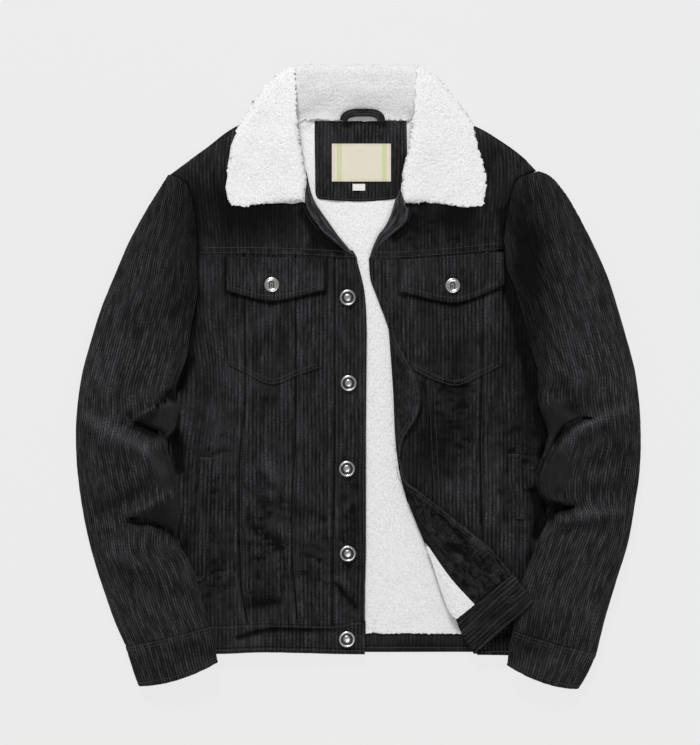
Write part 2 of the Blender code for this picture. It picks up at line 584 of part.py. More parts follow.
def make_turned_corner():
    """The lower corner of the +X front, turned back along the roll line."""
    upper_roll = [p for p in ROLL_LINE if -190 < p[1] < 60]
    upper_edge = [(184, -235)] + TURNED_EDGE[2:]
    rows = patch(FACING_INNER + upper_roll[1:], upper_edge, TURNED_BAND_TOP[1:],
                 [upper_roll[-1], TURNED_EDGE[-1]], even(4), even(22))
    lying("facing_right_turned", "corduroy", drawn_in(rows, SEAM_GAP / 2), turned_floor, FACING_WALL)

    lower_roll = [(117, -291), (109, -283), (100, -260), (87, -220), (80.5, -204)]
    facing_side = FACING_INNER[:-1]
    rows = patch(lower_roll, facing_side, TURNED_BAND_TOP[:2], [lower_roll[-1], facing_side[-1]], even(3), even(8))
    lying("lining_right_turned", "sherpa", drawn_in(rows, 2 * SEAM_GAP), turned_floor, LINING_WALL)

    rows = patch([(139, -334), (123, -307), (117, -291)], [(209, -268), (198, -253), (184, -235)],
                 [(139, -334), (172, -304), (209, -268)], TURNED_BAND_TOP, even(6), even(4))
    lying("waistband_right_turned", "corduroy", drawn_in(rows, SEAM_GAP), turned_floor, FACING_WALL)


# ---- collar -------------------------------------------------------------------------------
def collar_floor(x, y):
    """Underside of a collar leaf: on the yoke, and down to the table beyond the shoulder."""
    full = on_front(LAYER_GAP)(x, min(y, table_value(SHOULDER_LINE, x) - 20))
    return 0.3 + (full - 0.3) * quarter((inside_turn(x, y) + 9) / EDGE_RADIUS)


def collar_crest(x, y, roll):
    """Top of a collar leaf: highest along the roll beside the neck, lower at the free edges."""
    beside = abs(x - table_value([(q, p) for p, q in roll], y))
    return COLLAR_CREST - 5.5 * ramp(beside, 0, 60) - 4.0 * ramp(y, 300, 210)


def make_collar():
    for side, leaf in (("left", COLLAR_LEFT), ("right", COLLAR_RIGHT)):
        outer, inner, free = leaf["outer"], leaf["inner"], leaf["free"]
        rows = patch(outer, inner, free, [outer[-1], inner[-1]], eased(8), eased(12))

        def top(x, y, rim, roll=inner):
            floor = collar_floor(x, y)
            return floor + (collar_crest(x, y, roll) - floor) * (0.35 + 0.65 * quarter(rim / 12))

        slab("collar_" + side, "sherpa", drawn_in(rows, 0.4), collar_floor, top)

    neck_left = [(-72, NECK_SEAM_Y), (-74, 335), (-75, 366), (-74, COLLAR_TOP_Y)]
    neck_right = [(65, NECK_SEAM_Y), (67, 335), (68, 366), (67, COLLAR_TOP_Y)]
    seam = [(-72, NECK_SEAM_Y), (65, NECK_SEAM_Y)]
    roll = [(-74, COLLAR_TOP_Y), (-30, COLLAR_TOP_Y), (30, COLLAR_TOP_Y), (67, COLLAR_TOP_Y)]
    rows = patch(neck_left, neck_right, seam, roll, eased(8), eased(5))
    inside = [[Vector((p.x - math.copysign(LEAF_CLEARANCE, p.x), p.y)) for p in row] for row in rows]

    def inside_top(x, y, rim):
        rise = 12.5 + 8.0 * ramp(y, NECK_SEAM_Y, 350) + 3.0 * ramp(abs(x), 40, 75)
        return rise - 9.0 * (1 - quarter((COLLAR_TOP_Y - y) / 14))

    slab("collar_back_inside", "sherpa", inside, lambda x, y: FALL_TOP + SEAM_GAP, inside_top)
    slab("collar_back_fall", "sherpa", inside, lambda x, y: 0.0,
         lambda x, y, rim: FALL_TOP * (0.45 + 0.55 * quarter((COLLAR_TOP_Y - y) / 10)))


def make_hanger_loop():
    route = smooth([(x, y, LOOP_FLOOR + LOOP_RADIUS + z) for x, y, z in LOOP_ROUTE], 16)
    line = bpy.data.curves.new("hanger_loop", "CURVE")
    line.dimensions = "3D"
    line.bevel_depth = LOOP_RADIUS * MM
    line.bevel_resolution = 2
    line.use_fill_caps = True
    spline = line.splines.new("POLY")
    spline.points.add(len(route) - 1)
    for point, p in zip(spline.points, route):
        point.co = (p.x * MM, p.y * MM, p.z * MM, 1.0)
    thing = bpy.data.objects.new("hanger_loop", line)
    line.materials.append(material("corduroy"))
    bpy.context.collection.objects.link(thing)
    thing.parent = jacket


# ---- sleeves ------------------------------------------------------------------------------
SLEEVE_ROWS = 24
LEVEL_LIMIT = 0.9        # a seam whose normal is steeper than this lies flat


def sleeve_rails(table):
    """Outer and inner seam of a sleeve as 3-D points, row by row."""
    outers = smooth(table["outer"], SLEEVE_ROWS)
    inners = smooth(table["inner"], SLEEVE_ROWS)
    rails = []
    for j, (a, b) in enumerate(zip(outers, inners)):
        t = j / SLEEVE_ROWS
        free = ramp(t, ARMHOLE_END - 0.06, ARMHOLE_END + 0.06)
        b = b + (b - a).normalized() * SEWN_LAP * (1 - free)
        sewn_z = front_top(b.x, b.y) + LAYER_GAP
        free_z = sleeve_support(b.x, b.y) + SLEEVE_WALL + INNER_SEAM_RISE
        outer_z = OUTER_SEAM_Z * (0.6 + 0.4 * ramp(t, 0, 0.1))
        outer_z = max(outer_z, sleeve_support(a.x, a.y) + SLEEVE_WALL + 1.5)
        inner_z = sewn_z + (free_z - sewn_z) * free
        rails.append((t, free, Vector((a.x, a.y, outer_z)), Vector((b.x, b.y, inner_z))))
    return rails


def arch(s, soft):
    """Crown of a sleeve's section, 0 at both seams; soft flattens the side sewn to the armhole."""
    full = max(0.0, 1 - abs(s) ** 2.3)
    power = 0.5 + (0.45 * soft if s > 0 else 0.0)
    return full ** power


def top_row(t, free, a, b, crown, columns):
    row = []
    for share in eased(columns):
        p = a.lerp(b, share)
        lift = arch(2 * share - 1, 1 - free)
        folds = fold_height(SLEEVE_FOLDS, p.x, p.y) * min(1.0, lift)
        row.append(Vector((p.x, p.y, p.z + (crown + folds) * lift)))
    return row


def under_row(free, a, b, columns):
    """Underside of a sleeve: on the table and the body's side, turned up to both seams."""
    row = []
    b = b + (a - b).normalized() * UNDER_INSET * (1 - free)
    width = (b.xy - a.xy).length
    for share in eased(columns):
        p = a.lerp(b, share)
        rest = sleeve_support(p.x, p.y)
        outer_turn = 1 - quarter(share * width / OUTER_SEAM_Z)
        inner_turn = (1 - quarter((1 - share) * width / OUTER_SEAM_Z)) * free
        seam = a.z * outer_turn + b.z * inner_turn
        turn = max(outer_turn, inner_turn)
        row.append(Vector((p.x, p.y, rest * (1 - turn) + (seam - SEAM_GAP * turn if turn else 0.0))))
    return row


def make_sleeve(side, table):
    rails = sleeve_rails(table)
    tops = [top_row(t, free, a, b, table_value(SLEEVE_CROWN, t), 8) for t, free, a, b in rails]
    unders = [under_row(free, a, b, 8) for t, free, a, b in rails]
    upward = -1 if side == "left" else 1
    shell("sleeve_top_" + side, "corduroy", tops, SLEEVE_WALL, -upward)
    shell("sleeve_under_" + side, "corduroy", unders, SLEEVE_WALL, upward)
    make_cuff(side, table, upward)


def make_cuff(side, table, upward):
    """A short tube that carries on the sleeve's section to the open mouth."""
    outers = smooth(table["cuff_outer"], 3)
    inners = smooth(table["cuff_inner"], 3)
    rings = []
    for j, (a, b) in enumerate(zip(outers, inners)):
        crown = SLEEVE_CROWN[-1][1] + (CUFF_CROWN - SLEEVE_CROWN[-1][1]) * j / 3
        inner_z = sleeve_support(b.x, b.y) + SLEEVE_WALL + INNER_SEAM_RISE
        outer_z = max(OUTER_SEAM_Z, sleeve_support(a.x, a.y) + SLEEVE_WALL + 1.5)
        a3, b3 = Vector((a.x, a.y, outer_z)), Vector((b.x, b.y, inner_z))
        upper = top_row(1.0, 1.0, a3, b3, crown, 8)
        lower = under_row(1.0, a3, b3, 8)
        rings.append(upper + lower[-2:0:-1])
    shell("cuff_" + side, "corduroy", rings, SLEEVE_WALL, -upward, ring=True)


# ---- what lies on the fronts --------------------------------------------------------------
def on_front(lift, reach=4.0):
    """A height that clears the fronts' ridges near each point by lift."""
    def height(x, y):
        around = ((0, 0), (reach, 0), (-reach, 0), (0, reach), (0, -reach))
        return max(front_top(x + dx, y + dy) for dx, dy in around) + lift
    return height


def make_pockets():
    lift = LAYER_GAP
    for side, pocket in (("left", POCKET_LEFT), ("right", POCKET_RIGHT)):
        x0, x1 = pocket["x"]
        top = pocket["top"]
        rows = patch([pocket["low"][0], (x0, top)], [pocket["low"][-1], (x1, top)], pocket["low"],
                     [(x0, top), (x1, top)], even(8), even(6))
        lying("pocket_" + side, "corduroy", rows, on_front(lift), PATCH_WALL)
    lift += PATCH_WALL + LAYER_GAP
    for side, flap in (("left", FLAP_LEFT), ("right", FLAP_RIGHT)):
        (x0, x1), (y0, y1), low = flap["x"], flap["top"], flap["low"]
        rows = patch([low[0], (x0, y0)], [low[-1], (x1, y1)], low, [(x0, y0), (x1, y1)], even(8), even(3))
        lying("flap_" + side, "corduroy", rows, on_front(lift), FACING_WALL)
    for side, welt in (("left", WELT_LEFT), ("right", WELT_RIGHT)):
        first, second = welt["left"], welt["right"]
        rows = patch(first, second, [first[0], second[0]], [first[-1], second[-1]], even(2), even(8))
        lying("welt_" + side, "corduroy", rows, on_front(LAYER_GAP), PATCH_WALL)


def make_button(name, x, y, floor, radius):
    """Turned tack button: flat foot, rolled rim and a sunk middle."""
    verts, faces = [], []
    for share, z in BUTTON_PROFILE:
        for k in range(BUTTON_SEGMENTS):
            angle = 2 * math.pi * k / BUTTON_SEGMENTS
            verts.append((x + radius * share * math.cos(angle), y + radius * share * math.sin(angle), floor + z))
    rings = len(BUTTON_PROFILE)
    for r in range(rings - 1):
        for k in range(BUTTON_SEGMENTS):
            n = (k + 1) % BUTTON_SEGMENTS
            a, b = r * BUTTON_SEGMENTS + k, r * BUTTON_SEGMENTS + n
            faces.append((a, b, b + BUTTON_SEGMENTS, a + BUTTON_SEGMENTS))
    faces.append(tuple(range(BUTTON_SEGMENTS)))
    faces.append(tuple(range((rings - 1) * BUTTON_SEGMENTS, rings * BUTTON_SEGMENTS)))
    place(name, "metal", verts, faces)


def highest(surface, x, y, radius):
    around = [(x + radius * dx, y + radius * dy) for dx in (-1, 0, 1) for dy in (-1, 0, 1)]
    return max(surface(*p) for p in around)


def make_buttons():
    for number, (x, y) in enumerate(FRONT_BUTTONS, 1):
        make_button(f"button_front_{number}", x, y, highest(front_top, x, y, 8) + 0.3, FRONT_BUTTON_RADIUS)
    flap_top = on_front(2 * LAYER_GAP + PATCH_WALL + FACING_WALL)
    for side, (x, y) in FLAP_BUTTONS.items():
        make_button("button_flap_" + side, x, y, highest(flap_top, x, y, 8) + 0.3, FLAP_BUTTON_RADIUS)


# ---- build --------------------------------------------------------------------------------
for old in list(bpy.data.objects):
    bpy.data.objects.remove(old, do_unlink=True)
jacket = bpy.data.objects.new("jacket", None)
bpy.context.collection.objects.link(jacket)

make_back()
make_lining()
make_neck()
make_fronts()
make_waistbands()
make_turned_corner()
make_collar()
make_hanger_loop()
make_sleeve("left", SLEEVE_LEFT)
make_sleeve("right", SLEEVE_RIGHT)
make_pockets()
make_buttons()
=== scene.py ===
"""Looks of a sherpa-lined corduroy jacket that lies open on its back.

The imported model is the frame. Every piece here stands for one of its nodes or lies on one, and
repeats that node's outline and height from the same tables, sampled finely enough to carry the
corduroy's ribs, the sherpa's curls and the seams. Sizes are millimetres until MM turns them into
metres. +Y runs to the collar, +Z up from the table.
"""
import math

import bmesh
import bpy
import numpy as np
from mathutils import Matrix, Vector


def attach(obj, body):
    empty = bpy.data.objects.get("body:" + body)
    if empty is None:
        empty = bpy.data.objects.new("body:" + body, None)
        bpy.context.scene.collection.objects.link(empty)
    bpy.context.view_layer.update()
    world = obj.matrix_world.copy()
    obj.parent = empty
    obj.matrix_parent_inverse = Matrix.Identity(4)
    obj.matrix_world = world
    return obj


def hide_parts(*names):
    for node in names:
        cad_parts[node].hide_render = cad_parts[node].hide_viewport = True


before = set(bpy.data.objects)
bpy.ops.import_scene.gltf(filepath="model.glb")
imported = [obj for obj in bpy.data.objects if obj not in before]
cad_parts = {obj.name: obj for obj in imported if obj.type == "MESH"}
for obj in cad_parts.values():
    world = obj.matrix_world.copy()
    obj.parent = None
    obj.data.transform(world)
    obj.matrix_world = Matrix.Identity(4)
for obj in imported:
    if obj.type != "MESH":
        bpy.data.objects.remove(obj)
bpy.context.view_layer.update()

MM = 0.001

# ---- cloth, millimetres -------------------------------------------------------------------
BACK_WALL = 1.5
LINING_WALL = 5.0
FRONT_WALL = 3.0
SLEEVE_WALL = 2.2
FACING_WALL = 2.4
PATCH_WALL = 1.4
SEAM_GAP = 0.3
LAYER_GAP = 0.5
LINING_FLOOR = BACK_WALL + SEAM_GAP
LINING_TOP = LINING_FLOOR + LINING_WALL
LINING_HALF = 204        # within this of the middle the fronts lie on the lining
FRONT_FLOOR = LINING_TOP + 0.7
FRONT_LOFT = 5.0
EDGE_FLOOR = 2.3
EDGE_RADIUS = 16.0
HEM_Y = -334.0
POCKET_LIFT = 1.7        # how far the pockets lie above the fronts
WELT_LIFT = 1.9
FLAP_LIFT = 5.0

RIB = 4.7                # from one corduroy rib to the next
YOKE_RIB = 4.2           # the same where the cloth lies closer: yokes, flaps and the neck
SLEEVE_RIB = 3.6         # and where it bends round the arm
RIB_STEPS = 4            # columns of points in a rib
RIB_HEIGHT = 0.8
STITCH = 2.6             # length of a stitch
STITCH_STEP = 3.4        # from one stitch to the next
THREAD = 0.38            # radius of the sewing thread
LABEL_SEAM = 1.6         # the label's stitches from its edge
LINING_PILE = 1.7        # height of its curls
COLLAR_PILE = 1.6
RAGGED = 1.8             # how far the edge of the sherpa strays

# ---- seams that cross the body: columns x, y ----------------------------------------------
YOKE_SEAM = [(-195, 147), (-118, 147), (-38, 144), (-6, 142), (15, 142), (50, 142), (110, 146), (177, 153)]
WAIST_SEAM = [(-244, -297), (-170, -300), (-118, -298), (-31, -300), (8, -295),
              (113, -298), (148, -299), (190, -300), (242, -297)]
HEM_LINE = [(-244, -332), (-170, -333), (-118, -331), (-70, -332), (4, -334), (139, -334), (242, -336)]
SHOULDER_LINE = [(-227, 243), (-208, 257), (-183, 275), (-143, 303), (-80, 318),
                 (74, 318), (136, 303), (175, 281), (199, 263), (214, 248)]

# ---- seams and edges that run down the body: columns x, y, from hem to collar -------------
LEFT_SIDE = [(-244, -297), (-247, -250), (-254, -172), (-260, -88), (-264, -42), (-244, -24),
             (-225, -6), (-211, 24), (-200, 67), (-194, 101), (-195, 147)]
LEFT_ARMHOLE = [(-195, 147), (-196, 179), (-200, 206), (-207, 231), (-227, 243)]
LEFT_SEAM_A = [(-133, -297), (-141, -253), (-143, -196), (-143, -98), (-136, -30), (-138, 147)]
LEFT_SEAM_B = [(-73, -297), (-80, -215), (-80, -148), (-77, -100), (-75, -3), (-76, 147)]
LEFT_PLACKET_SEAM = [(-31, -299), (-31, -220), (-29, -100), (-29, 92), (-29, 144)]
LEFT_FRONT_EDGE = [(8, -295), (8, -220), (8, -100), (9, 9), (9, 68), (6, 106), (-3, 142)]
LEFT_NECKLINE = [(-6, 142), (-16, 154), (-48, 180), (-65, 208), (-68, 240), (-72, 280), (-80, 318)]

RIGHT_SIDE = [(242, -297), (244, -250), (248, -172), (251, -88), (255, -34), (240, -16),
              (225, -1), (215.5, 21), (206, 52), (196, 83), (187, 108), (179, 130), (177, 153)]
RIGHT_ARMHOLE = [(177, 153), (176, 172), (182, 206), (190, 235), (214, 248)]
RIGHT_SEAM_A = [(148, -299), (150, -220), (148, -158), (146, -82), (148, -10), (150, 150)]
RIGHT_SEAM_B = [(92, -200), (87, -94), (85, -52), (82, -2), (80, 144)]
RIGHT_SEAM_B_LOW = [(120, -298), (105, -258), (92, -232), (92, -200)]
RIGHT_NECKLINE = [(13, 142), (24, 160), (39, 173), (59, 190), (57, 208), (60, 240), (66, 280), (74, 318)]
ROLL_LINE = [(139, -334), (123, -307), (109, -283), (100, -260), (87, -220), (75, -188), (59, -148),
             (51, -120), (45, -79), (43, -33), (40, 24), (37, 57), (28, 82), (21, 101), (14, 120),
             (13, 142)]
TURNED_EDGE = [(209, -268), (200, -256), (179, -230), (159, -206), (128, -181), (103, -160), (77, -140),
               (56, -124), (50, -97), (52, -81), (59, -66), (69, -50), (74, -33), (73, -14), (67, 5),
               (56, 24), (46, 44), (42, 57)]
FACING_INNER = [(139, -273), (110, -241), (84, -204), (75, -188)]
TURNED_BAND_TOP = [(117, -291), (139, -273), (184, -235)]
BODY_EDGE = {"left": [(-244, -340)] + LEFT_SIDE + LEFT_ARMHOLE[1:],
             "right": [(242, -340)] + RIGHT_SIDE + RIGHT_ARMHOLE[1:]}
HIDDEN_EDGE = {"left": BODY_EDGE["left"][:8], "right": BODY_EDGE["right"][:8]}

# ---- collar: columns x, y -----------------------------------------------------------------
COLLAR_LEFT = {
    "outer": [(-157, 214), (-158, 238), (-155, 261), (-151, 282), (-143, 303), (-135, 316),
              (-122, 338), (-99, 363), (-78, 374)],
    "inner": [(-65, 210), (-64, 230), (-65, 254), (-69, 275), (-73, 305), (-75, 335), (-76, 366)],
    "free": [(-157, 214), (-152, 205.5), (-138, 204.3), (-121, 207), (-97, 209.3), (-74, 210), (-65, 210)],
}
COLLAR_RIGHT = {
    "outer": [(151, 210), (153, 234), (149, 258), (142, 283), (136, 303), (127, 322), (112, 340),
              (94, 361), (71, 374)],
    "inner": [(53, 212), (53, 239), (56, 256), (61, 276), (65, 306), (68, 329), (69, 366)],
    "free": [(151, 210), (146, 204), (127, 204), (109, 207), (86, 209), (60, 208), (53, 212)],
}
COLLAR_TOP_Y = 375.0
NECK_SEAM_Y = 309.0
FALL_TOP = 8.0
COLLAR_CREST = 27.0
# behind the neck: left end, right end, neck seam, roll
COLLAR_BACK = ([(-77, NECK_SEAM_Y - 4), (-79, 335), (-79, 362), (-75, COLLAR_TOP_Y)],
               [(70, NECK_SEAM_Y - 4), (72, 335), (72, 362), (68, COLLAR_TOP_Y)],
               [(-77, NECK_SEAM_Y - 4), (-58, NECK_SEAM_Y), (0, NECK_SEAM_Y), (62, NECK_SEAM_Y),
                (70, NECK_SEAM_Y - 4)],
               [(x, COLLAR_TOP_Y) for x in (-75, -30, 30, 68)])

# ---- sleeves: columns x, y, from shoulder to cuff -----------------------------------------
SLEEVE_LEFT = {
    "outer": [(-229, 244), (-251.5, 207), (-274.5, 165.5), (-293.5, 121.5), (-310, 81),
              (-323.5, 38.5), (-334, -4),
              (-340, -55), (-339, -106), (-334, -148.5), (-324, -199.5), (-311.5, -243), (-294.5, -292),
              (-280.5, -324)],
    "inner": [(-221, 241), (-207, 231), (-200, 206), (-196, 179), (-195, 148), (-194, 101), (-200, 67),
              (-207, 23), (-220, -16), (-216, -40), (-220, -62), (-231, -78), (-223, -106), (-217, -133),
              (-214, -169), (-217, -197), (-207, -214), (-197, -235), (-187, -271), (-177, -298)],
    "cuff_outer": [(-281.2, -322.6), (-273.5, -347.5), (-265, -373.5)],
    "cuff_inner": [(-177.3, -297), (-173.5, -318), (-169, -343)],
}
SLEEVE_RIGHT = {
    "outer": [(216, 248), (233, 240.5), (251.8, 217), (269.4, 185.5), (286.6, 151), (302.3, 113.5),
              (315.4, 70.5),
              (326.6, 32.3), (334.7, -4), (339.7, -60), (338.7, -112), (332.7, -154.3), (324.7, -199.4),
              (309.7, -248.5),
              (296.6, -292.5), (287, -333)],
    "inner": [(209, 245), (190, 235), (182, 206), (176, 172), (177, 148), (179, 130), (187, 108),
              (196, 83), (204, 52), (211, 21), (218, -2), (215, -20), (219, -42), (229, -72), (222, -92),
              (214, -117), (216, -139), (228, -156), (226, -174), (218, -190), (211, -209), (202, -230),
              (195, -250), (190, -274), (185, -303)],
    "cuff_outer": [(287.6, -332), (276.5, -356.5), (265, -377)],
    "cuff_inner": [(185.4, -302), (180.5, -325), (178.5, -347)],
}
SLEEVE_CROWN = [(0.0, 3), (0.08, 14), (0.2, 25), (0.4, 29), (0.6, 29), (0.75, 27), (0.9, 23), (1.0, 20)]
CUFF_CROWN = 17.0
CUFF_BULGE = 4.5         # how far the middle of the cuff's mouth stands past its corners
CUFF_LAP = 2.0           # the cuff's end that is tucked under the sleeve's
OUTER_SEAM_Z = 8.0
INNER_SEAM_RISE = 5.0
ARMHOLE_END = 0.41
SEWN_LAP = 0.8
UNDER_INSET = -1.4
ARC_STEPS = 120          # across a sleeve
NORMAL_STEP = 0.7        # either side of a point, to tell which way it faces
# columns: part of the length, width of the cut across its ribs
TOP_GRAIN = [(0.0, 26), (0.05, 78), (0.1, 112), (0.16, 138), (0.24, 152), (1.0, 152)]
UNDER_GRAIN = [(0.0, 22), (0.06, 60), (0.14, 104), (0.24, 124), (1.0, 124)]
# parts of the length from cuff to shoulder where rows of points fall, closest at the elbow
SLEEVE_ROWS = np.concatenate([np.linspace(0, 0.16, 27)[:-1], np.linspace(0.16, 0.6, 166)[:-1],
                              np.linspace(0.6, 1, 72)])[1:-1]

# ---- folds: columns x0, y0, x1, y1, height, width -----------------------------------------
FRONT_FOLDS = [
    (-115, -94, -97, -131, 4.0, 13), (-120, -150, -82, -153, -3.0, 10), (-125, -179, -86, -203, -3.5, 11),
    (-67, -158, -38, -169, -2.5, 9), (-165, -255, -149, -245, -3.0, 12), (-131, -275, -94, -269, -3.0, 9),
    (-190, 262, -190, 172, -5.0, 9), (171, 262, 171, 200, -5.0, 9), (-120, -30, -60, -60, 2.5, 22),
    (-160, -120, -150, -215, 3.0, 16), (180, -40, 165, -150, 3.0, 18), (120, -40, 135, -120, 2.5, 15),
]
SLEEVE_FOLDS = [
    (-327, -56, -248, -88, 9.0, 14), (-274, -52, -232, -77, -11.0, 8), (-274, -172, -226, -190, -11.0, 9),
    (-220, -140, -274, -167, 8.0, 13), (-313, -163, -256, -133, -6.0, 14), (-262, 150, -222, 60, -3.5, 14),
    (238, -83, 272, -56, 10.0, 12), (272, -56, 320, -38, 8.0, 13), (229, -27, 277, -48, -8.0, 10),
    (238, -143, 256, -158, -10.0, 9), (238, -172, 308, -160, 8.0, 13), (300, -104, 250, -118, -5.0, 15),
]
TURNED_FOLDS = [
    (96, -172, 110, -192, 2.0, 7), (128, -196, 118, -214, -1.8, 6), (150, -214, 138, -236, 2.0, 7),
    (62, -30, 68, -52, 1.5, 8),
]
# small creases of the fronts, which the frame's solids leave out
FRONT_CREASES = [
    (-113, -97, -100, -126, 1.6, 6), (-119, -150, -84, -156, -1.6, 4), (-127, -182, -90, -202, -1.8, 5),
    (-66, -159, -40, -170, -1.6, 4), (-166, -256, -150, -246, -1.8, 4), (-130, -276, -96, -270, -1.8, 4),
    (-28, -249, -4, -277, -2.0, 4), (-24, -244, 2, -262, 1.3, 6), (-22, -232, 4, -230, -1.0, 4),
    (-118, -140, -84, -143, 1.4, 6), (-122, -168, -88, -186, 1.6, 6), (-128, -218, -104, -214, -1.1, 4),
    (-176, -40, -168, -120, 1.8, 8), (-188, -150, -180, -230, -1.5, 7), (-64, -186, -40, -180, 1.2, 6),
    (-112, 20, -104, 70, 0.9, 8), (-92, 30, -88, 84, -0.8, 6), (-60, 190, -20, 160, 1.4, 12),
    (98, -20, 104, 60, 1.0, 9), (126, -30, 122, 40, -0.9, 7), (168, -108, 160, -176, 1.6, 9),
    (184, -96, 176, -120, -1.8, 5), (204, -170, 176, -172, -1.3, 4), (110, -128, 122, -160, 1.3, 8),
    (152, 60, 158, 120, 1.4, 8), (60, 120, 72, 60, 1.0, 8),
    (-221, -70, -217, -84, -9.0, 5), (-217, -84, -215, -112, -8.0, 4.5), (-203, 20, -216, -12, -6.0, 5),
    (219, -44, 229, -70, -8.0, 5), (229, -74, 221, -96, -6.0, 4), (213, -140, 222, -160, -9.0, 6),
    (222, -164, 214, -192, -7.0, 5), (-48, 176, -24, 154, -4.5, 7), (-62, 196, -50, 180, -3.0, 7),
    (66, 190, 44, 166, -4.0, 5), (-199, 205, -196, 150, -4.0, 3.5), (-197, 150, -196, 100, -3.0, 3.5),
    (181, 205, 176, 172, -4.0, 3.5), (174, 150, 184, 100, -5.0, 6), (184, 100, 202, 30, -5.0, 7),
    (202, 30, 212, -20, -5.0, 7), (-197, 100, -204, 30, -3.5, 4.5), (-66, 196, -50, 170, -4.0, 4.5),
    (-50, 170, -22, 148, -4.0, 4.5),
]
# small cross wrinkles of the fronts: centre x, y, half width, half height, height
PUCKERS = [(-178, -110, 34, 70, 0.9), (-105, -180, 34, 60, 0.8), (-50, -230, 30, 60, 0.7),
           (-160, -240, 40, 40, 0.8),
           (-12, -180, 16, 110, 0.5), (190, -120, 34, 70, 0.7), (120, -60, 40, 70, 0.5),
           (60, 60, 24, 120, 0.4),
           (-100, -20, 40, 24, 0.5), (115, -14, 40, 20, 0.5), (-50, 150, 60, 30, 0.4),
           (110, 165, 60, 24, 0.4)]
BAND_CREASES = [
    (-145, -314, -122, -308, -1.8, 3.5), (-122, -308, -100, -304, -1.8, 3.5),
    (-100, -304, -60, -306, -1.5, 3.5),
    (-60, -306, -25, -305, -1.2, 3.5), (-140, -321, -104, -315, 1.1, 5), (-225, -313, -195, -322, 1.2, 6),
    (-90, -313, -50, -314, 0.9, 5), (160, -312, 200, -309, -1.0, 4),
]
# columns: x0, y0, x1, y1, height, width: creases of the sleeves that are sharper than their folds
SLEEVE_CREASES = [
    (-340, -60, -292, -54, 2.0, 8), (-274, -175, -252, -172, -4.0, 4), (-252, -172, -230, -188, -4.0, 4),
    (-300, -126, -258, -112, 2.0, 9), (-328, -178, -280, -168, -1.6, 7), (-300, 40, -262, 10, 1.4, 16),
    (-318, -20, -282, -38, -1.6, 9), (-222, 180, -214, 120, -1.5, 7), (-238, 190, -228, 110, 1.2, 9),
    (-280, -230, -240, -262, -1.2, 10), (-214, -250, -236, -228, 1.4, 8), (-232, 40, -222, -6, 1.4, 8),
    (302, -28, 334, -34, 1.6, 8), (222, -20, 262, -34, 2.0, 6), (290, -70, 318, -66, -1.8, 9),
    (236, 40, 228, -4, 1.4, 8), (252, 176, 226, 118, 1.2, 10), (228, 186, 212, 132, -1.4, 7),
    (256, -158, 266, -166, -3.0, 5), (262, -176, 316, -172, -1.6, 7), (290, -232, 236, -246, -1.2, 10),
]

# hollows between two edges of a folded sleeve, each edge with its high cloth on the left:
# upper edge, lower edge, depth at the upper edge, depth at the lower edge, rim raised on the lower edge
SLEEVE_HOLLOWS = [
    ([(-277, -57), (-253, -44), (-237, -35), (-228, -21), (-221, -11), (-208, -4)],
     [(-213, -114), (-226, -92), (-232, -79), (-240, -70.5), (-257, -63), (-277, -57)], 13.0, 15.0, 3.0),
    ([(-277, -169), (-248, -154), (-220, -137), (-205, -126)],
     [(-198, -214), (-207, -206), (-226, -191), (-250, -177), (-277, -169)], 0.0, 15.0, 2.0),
    ([(203, -8), (214, -19), (229, -29), (250, -37), (278, -50)],
     [(278, -50), (265, -53), (248, -64), (234, -84), (219, -100)], 1.0, 14.0, 3.0),
    ([(203, -146), (226, -156), (237, -148), (256, -156.5)],
     [(256, -156.5), (242, -165), (227, -176), (213, -190)], 14.0, 15.0, 2.5),
]
# narrow clefts: line, depth, width at its start, width at its end
SLEEVE_CLEFTS = [
    ([(-273, -57), (-257, -61), (-240, -67.5), (-229, -74)], 13.0, 1.8, 5.5),
    ([(-240, -35), (-229, -24), (-218, -14)], 15.0, 2.0, 9.0),
    ([(-272, -170), (-250, -173), (-226, -187), (-208, -203)], 12.0, 4.5, 3.5),
    ([(276, -50.5), (262, -53), (248, -61), (236, -78)], 10.0, 2.0, 4.5),
    ([(256, -156), (240, -162), (224, -168)], 13.0, 2.5, 9.5),
    ([(226, -150), (216, -136), (215, -118), (222, -98)], 2.5, 1.2, 1.2),
]
TURNED_CREASES = [
    (60, -34, 68, -60, 1.2, 3), (54, -62, 60, -92, -1.0, 4), (66, -118, 74, -134, 1.4, 3),
    (74, -126, 84, -150, -1.2, 3), (84, -132, 92, -160, 1.3, 4), (94, -150, 104, -168, -1.5, 3),
    (100, -176, 112, -196, 1.4, 4), (106, -200, 132, -218, -1.8, 3), (118, -180, 128, -198, -1.5, 3),
    (128, -206, 144, -226, -1.4, 3), (136, -196, 150, -206, 1.4, 4), (112, -222, 128, -240, -1.4, 3),
    (140, -232, 152, -242, 1.2, 3), (96, -206, 108, -216, 1.2, 3),
]
# where the ribs stray: centre x, y, half width, half height, shift
LEANS = [(-200, -10, 36, 70, 12.0), (-190, 250, 60, 60, -7.0), (180, 250, 60, 60, 7.0)]

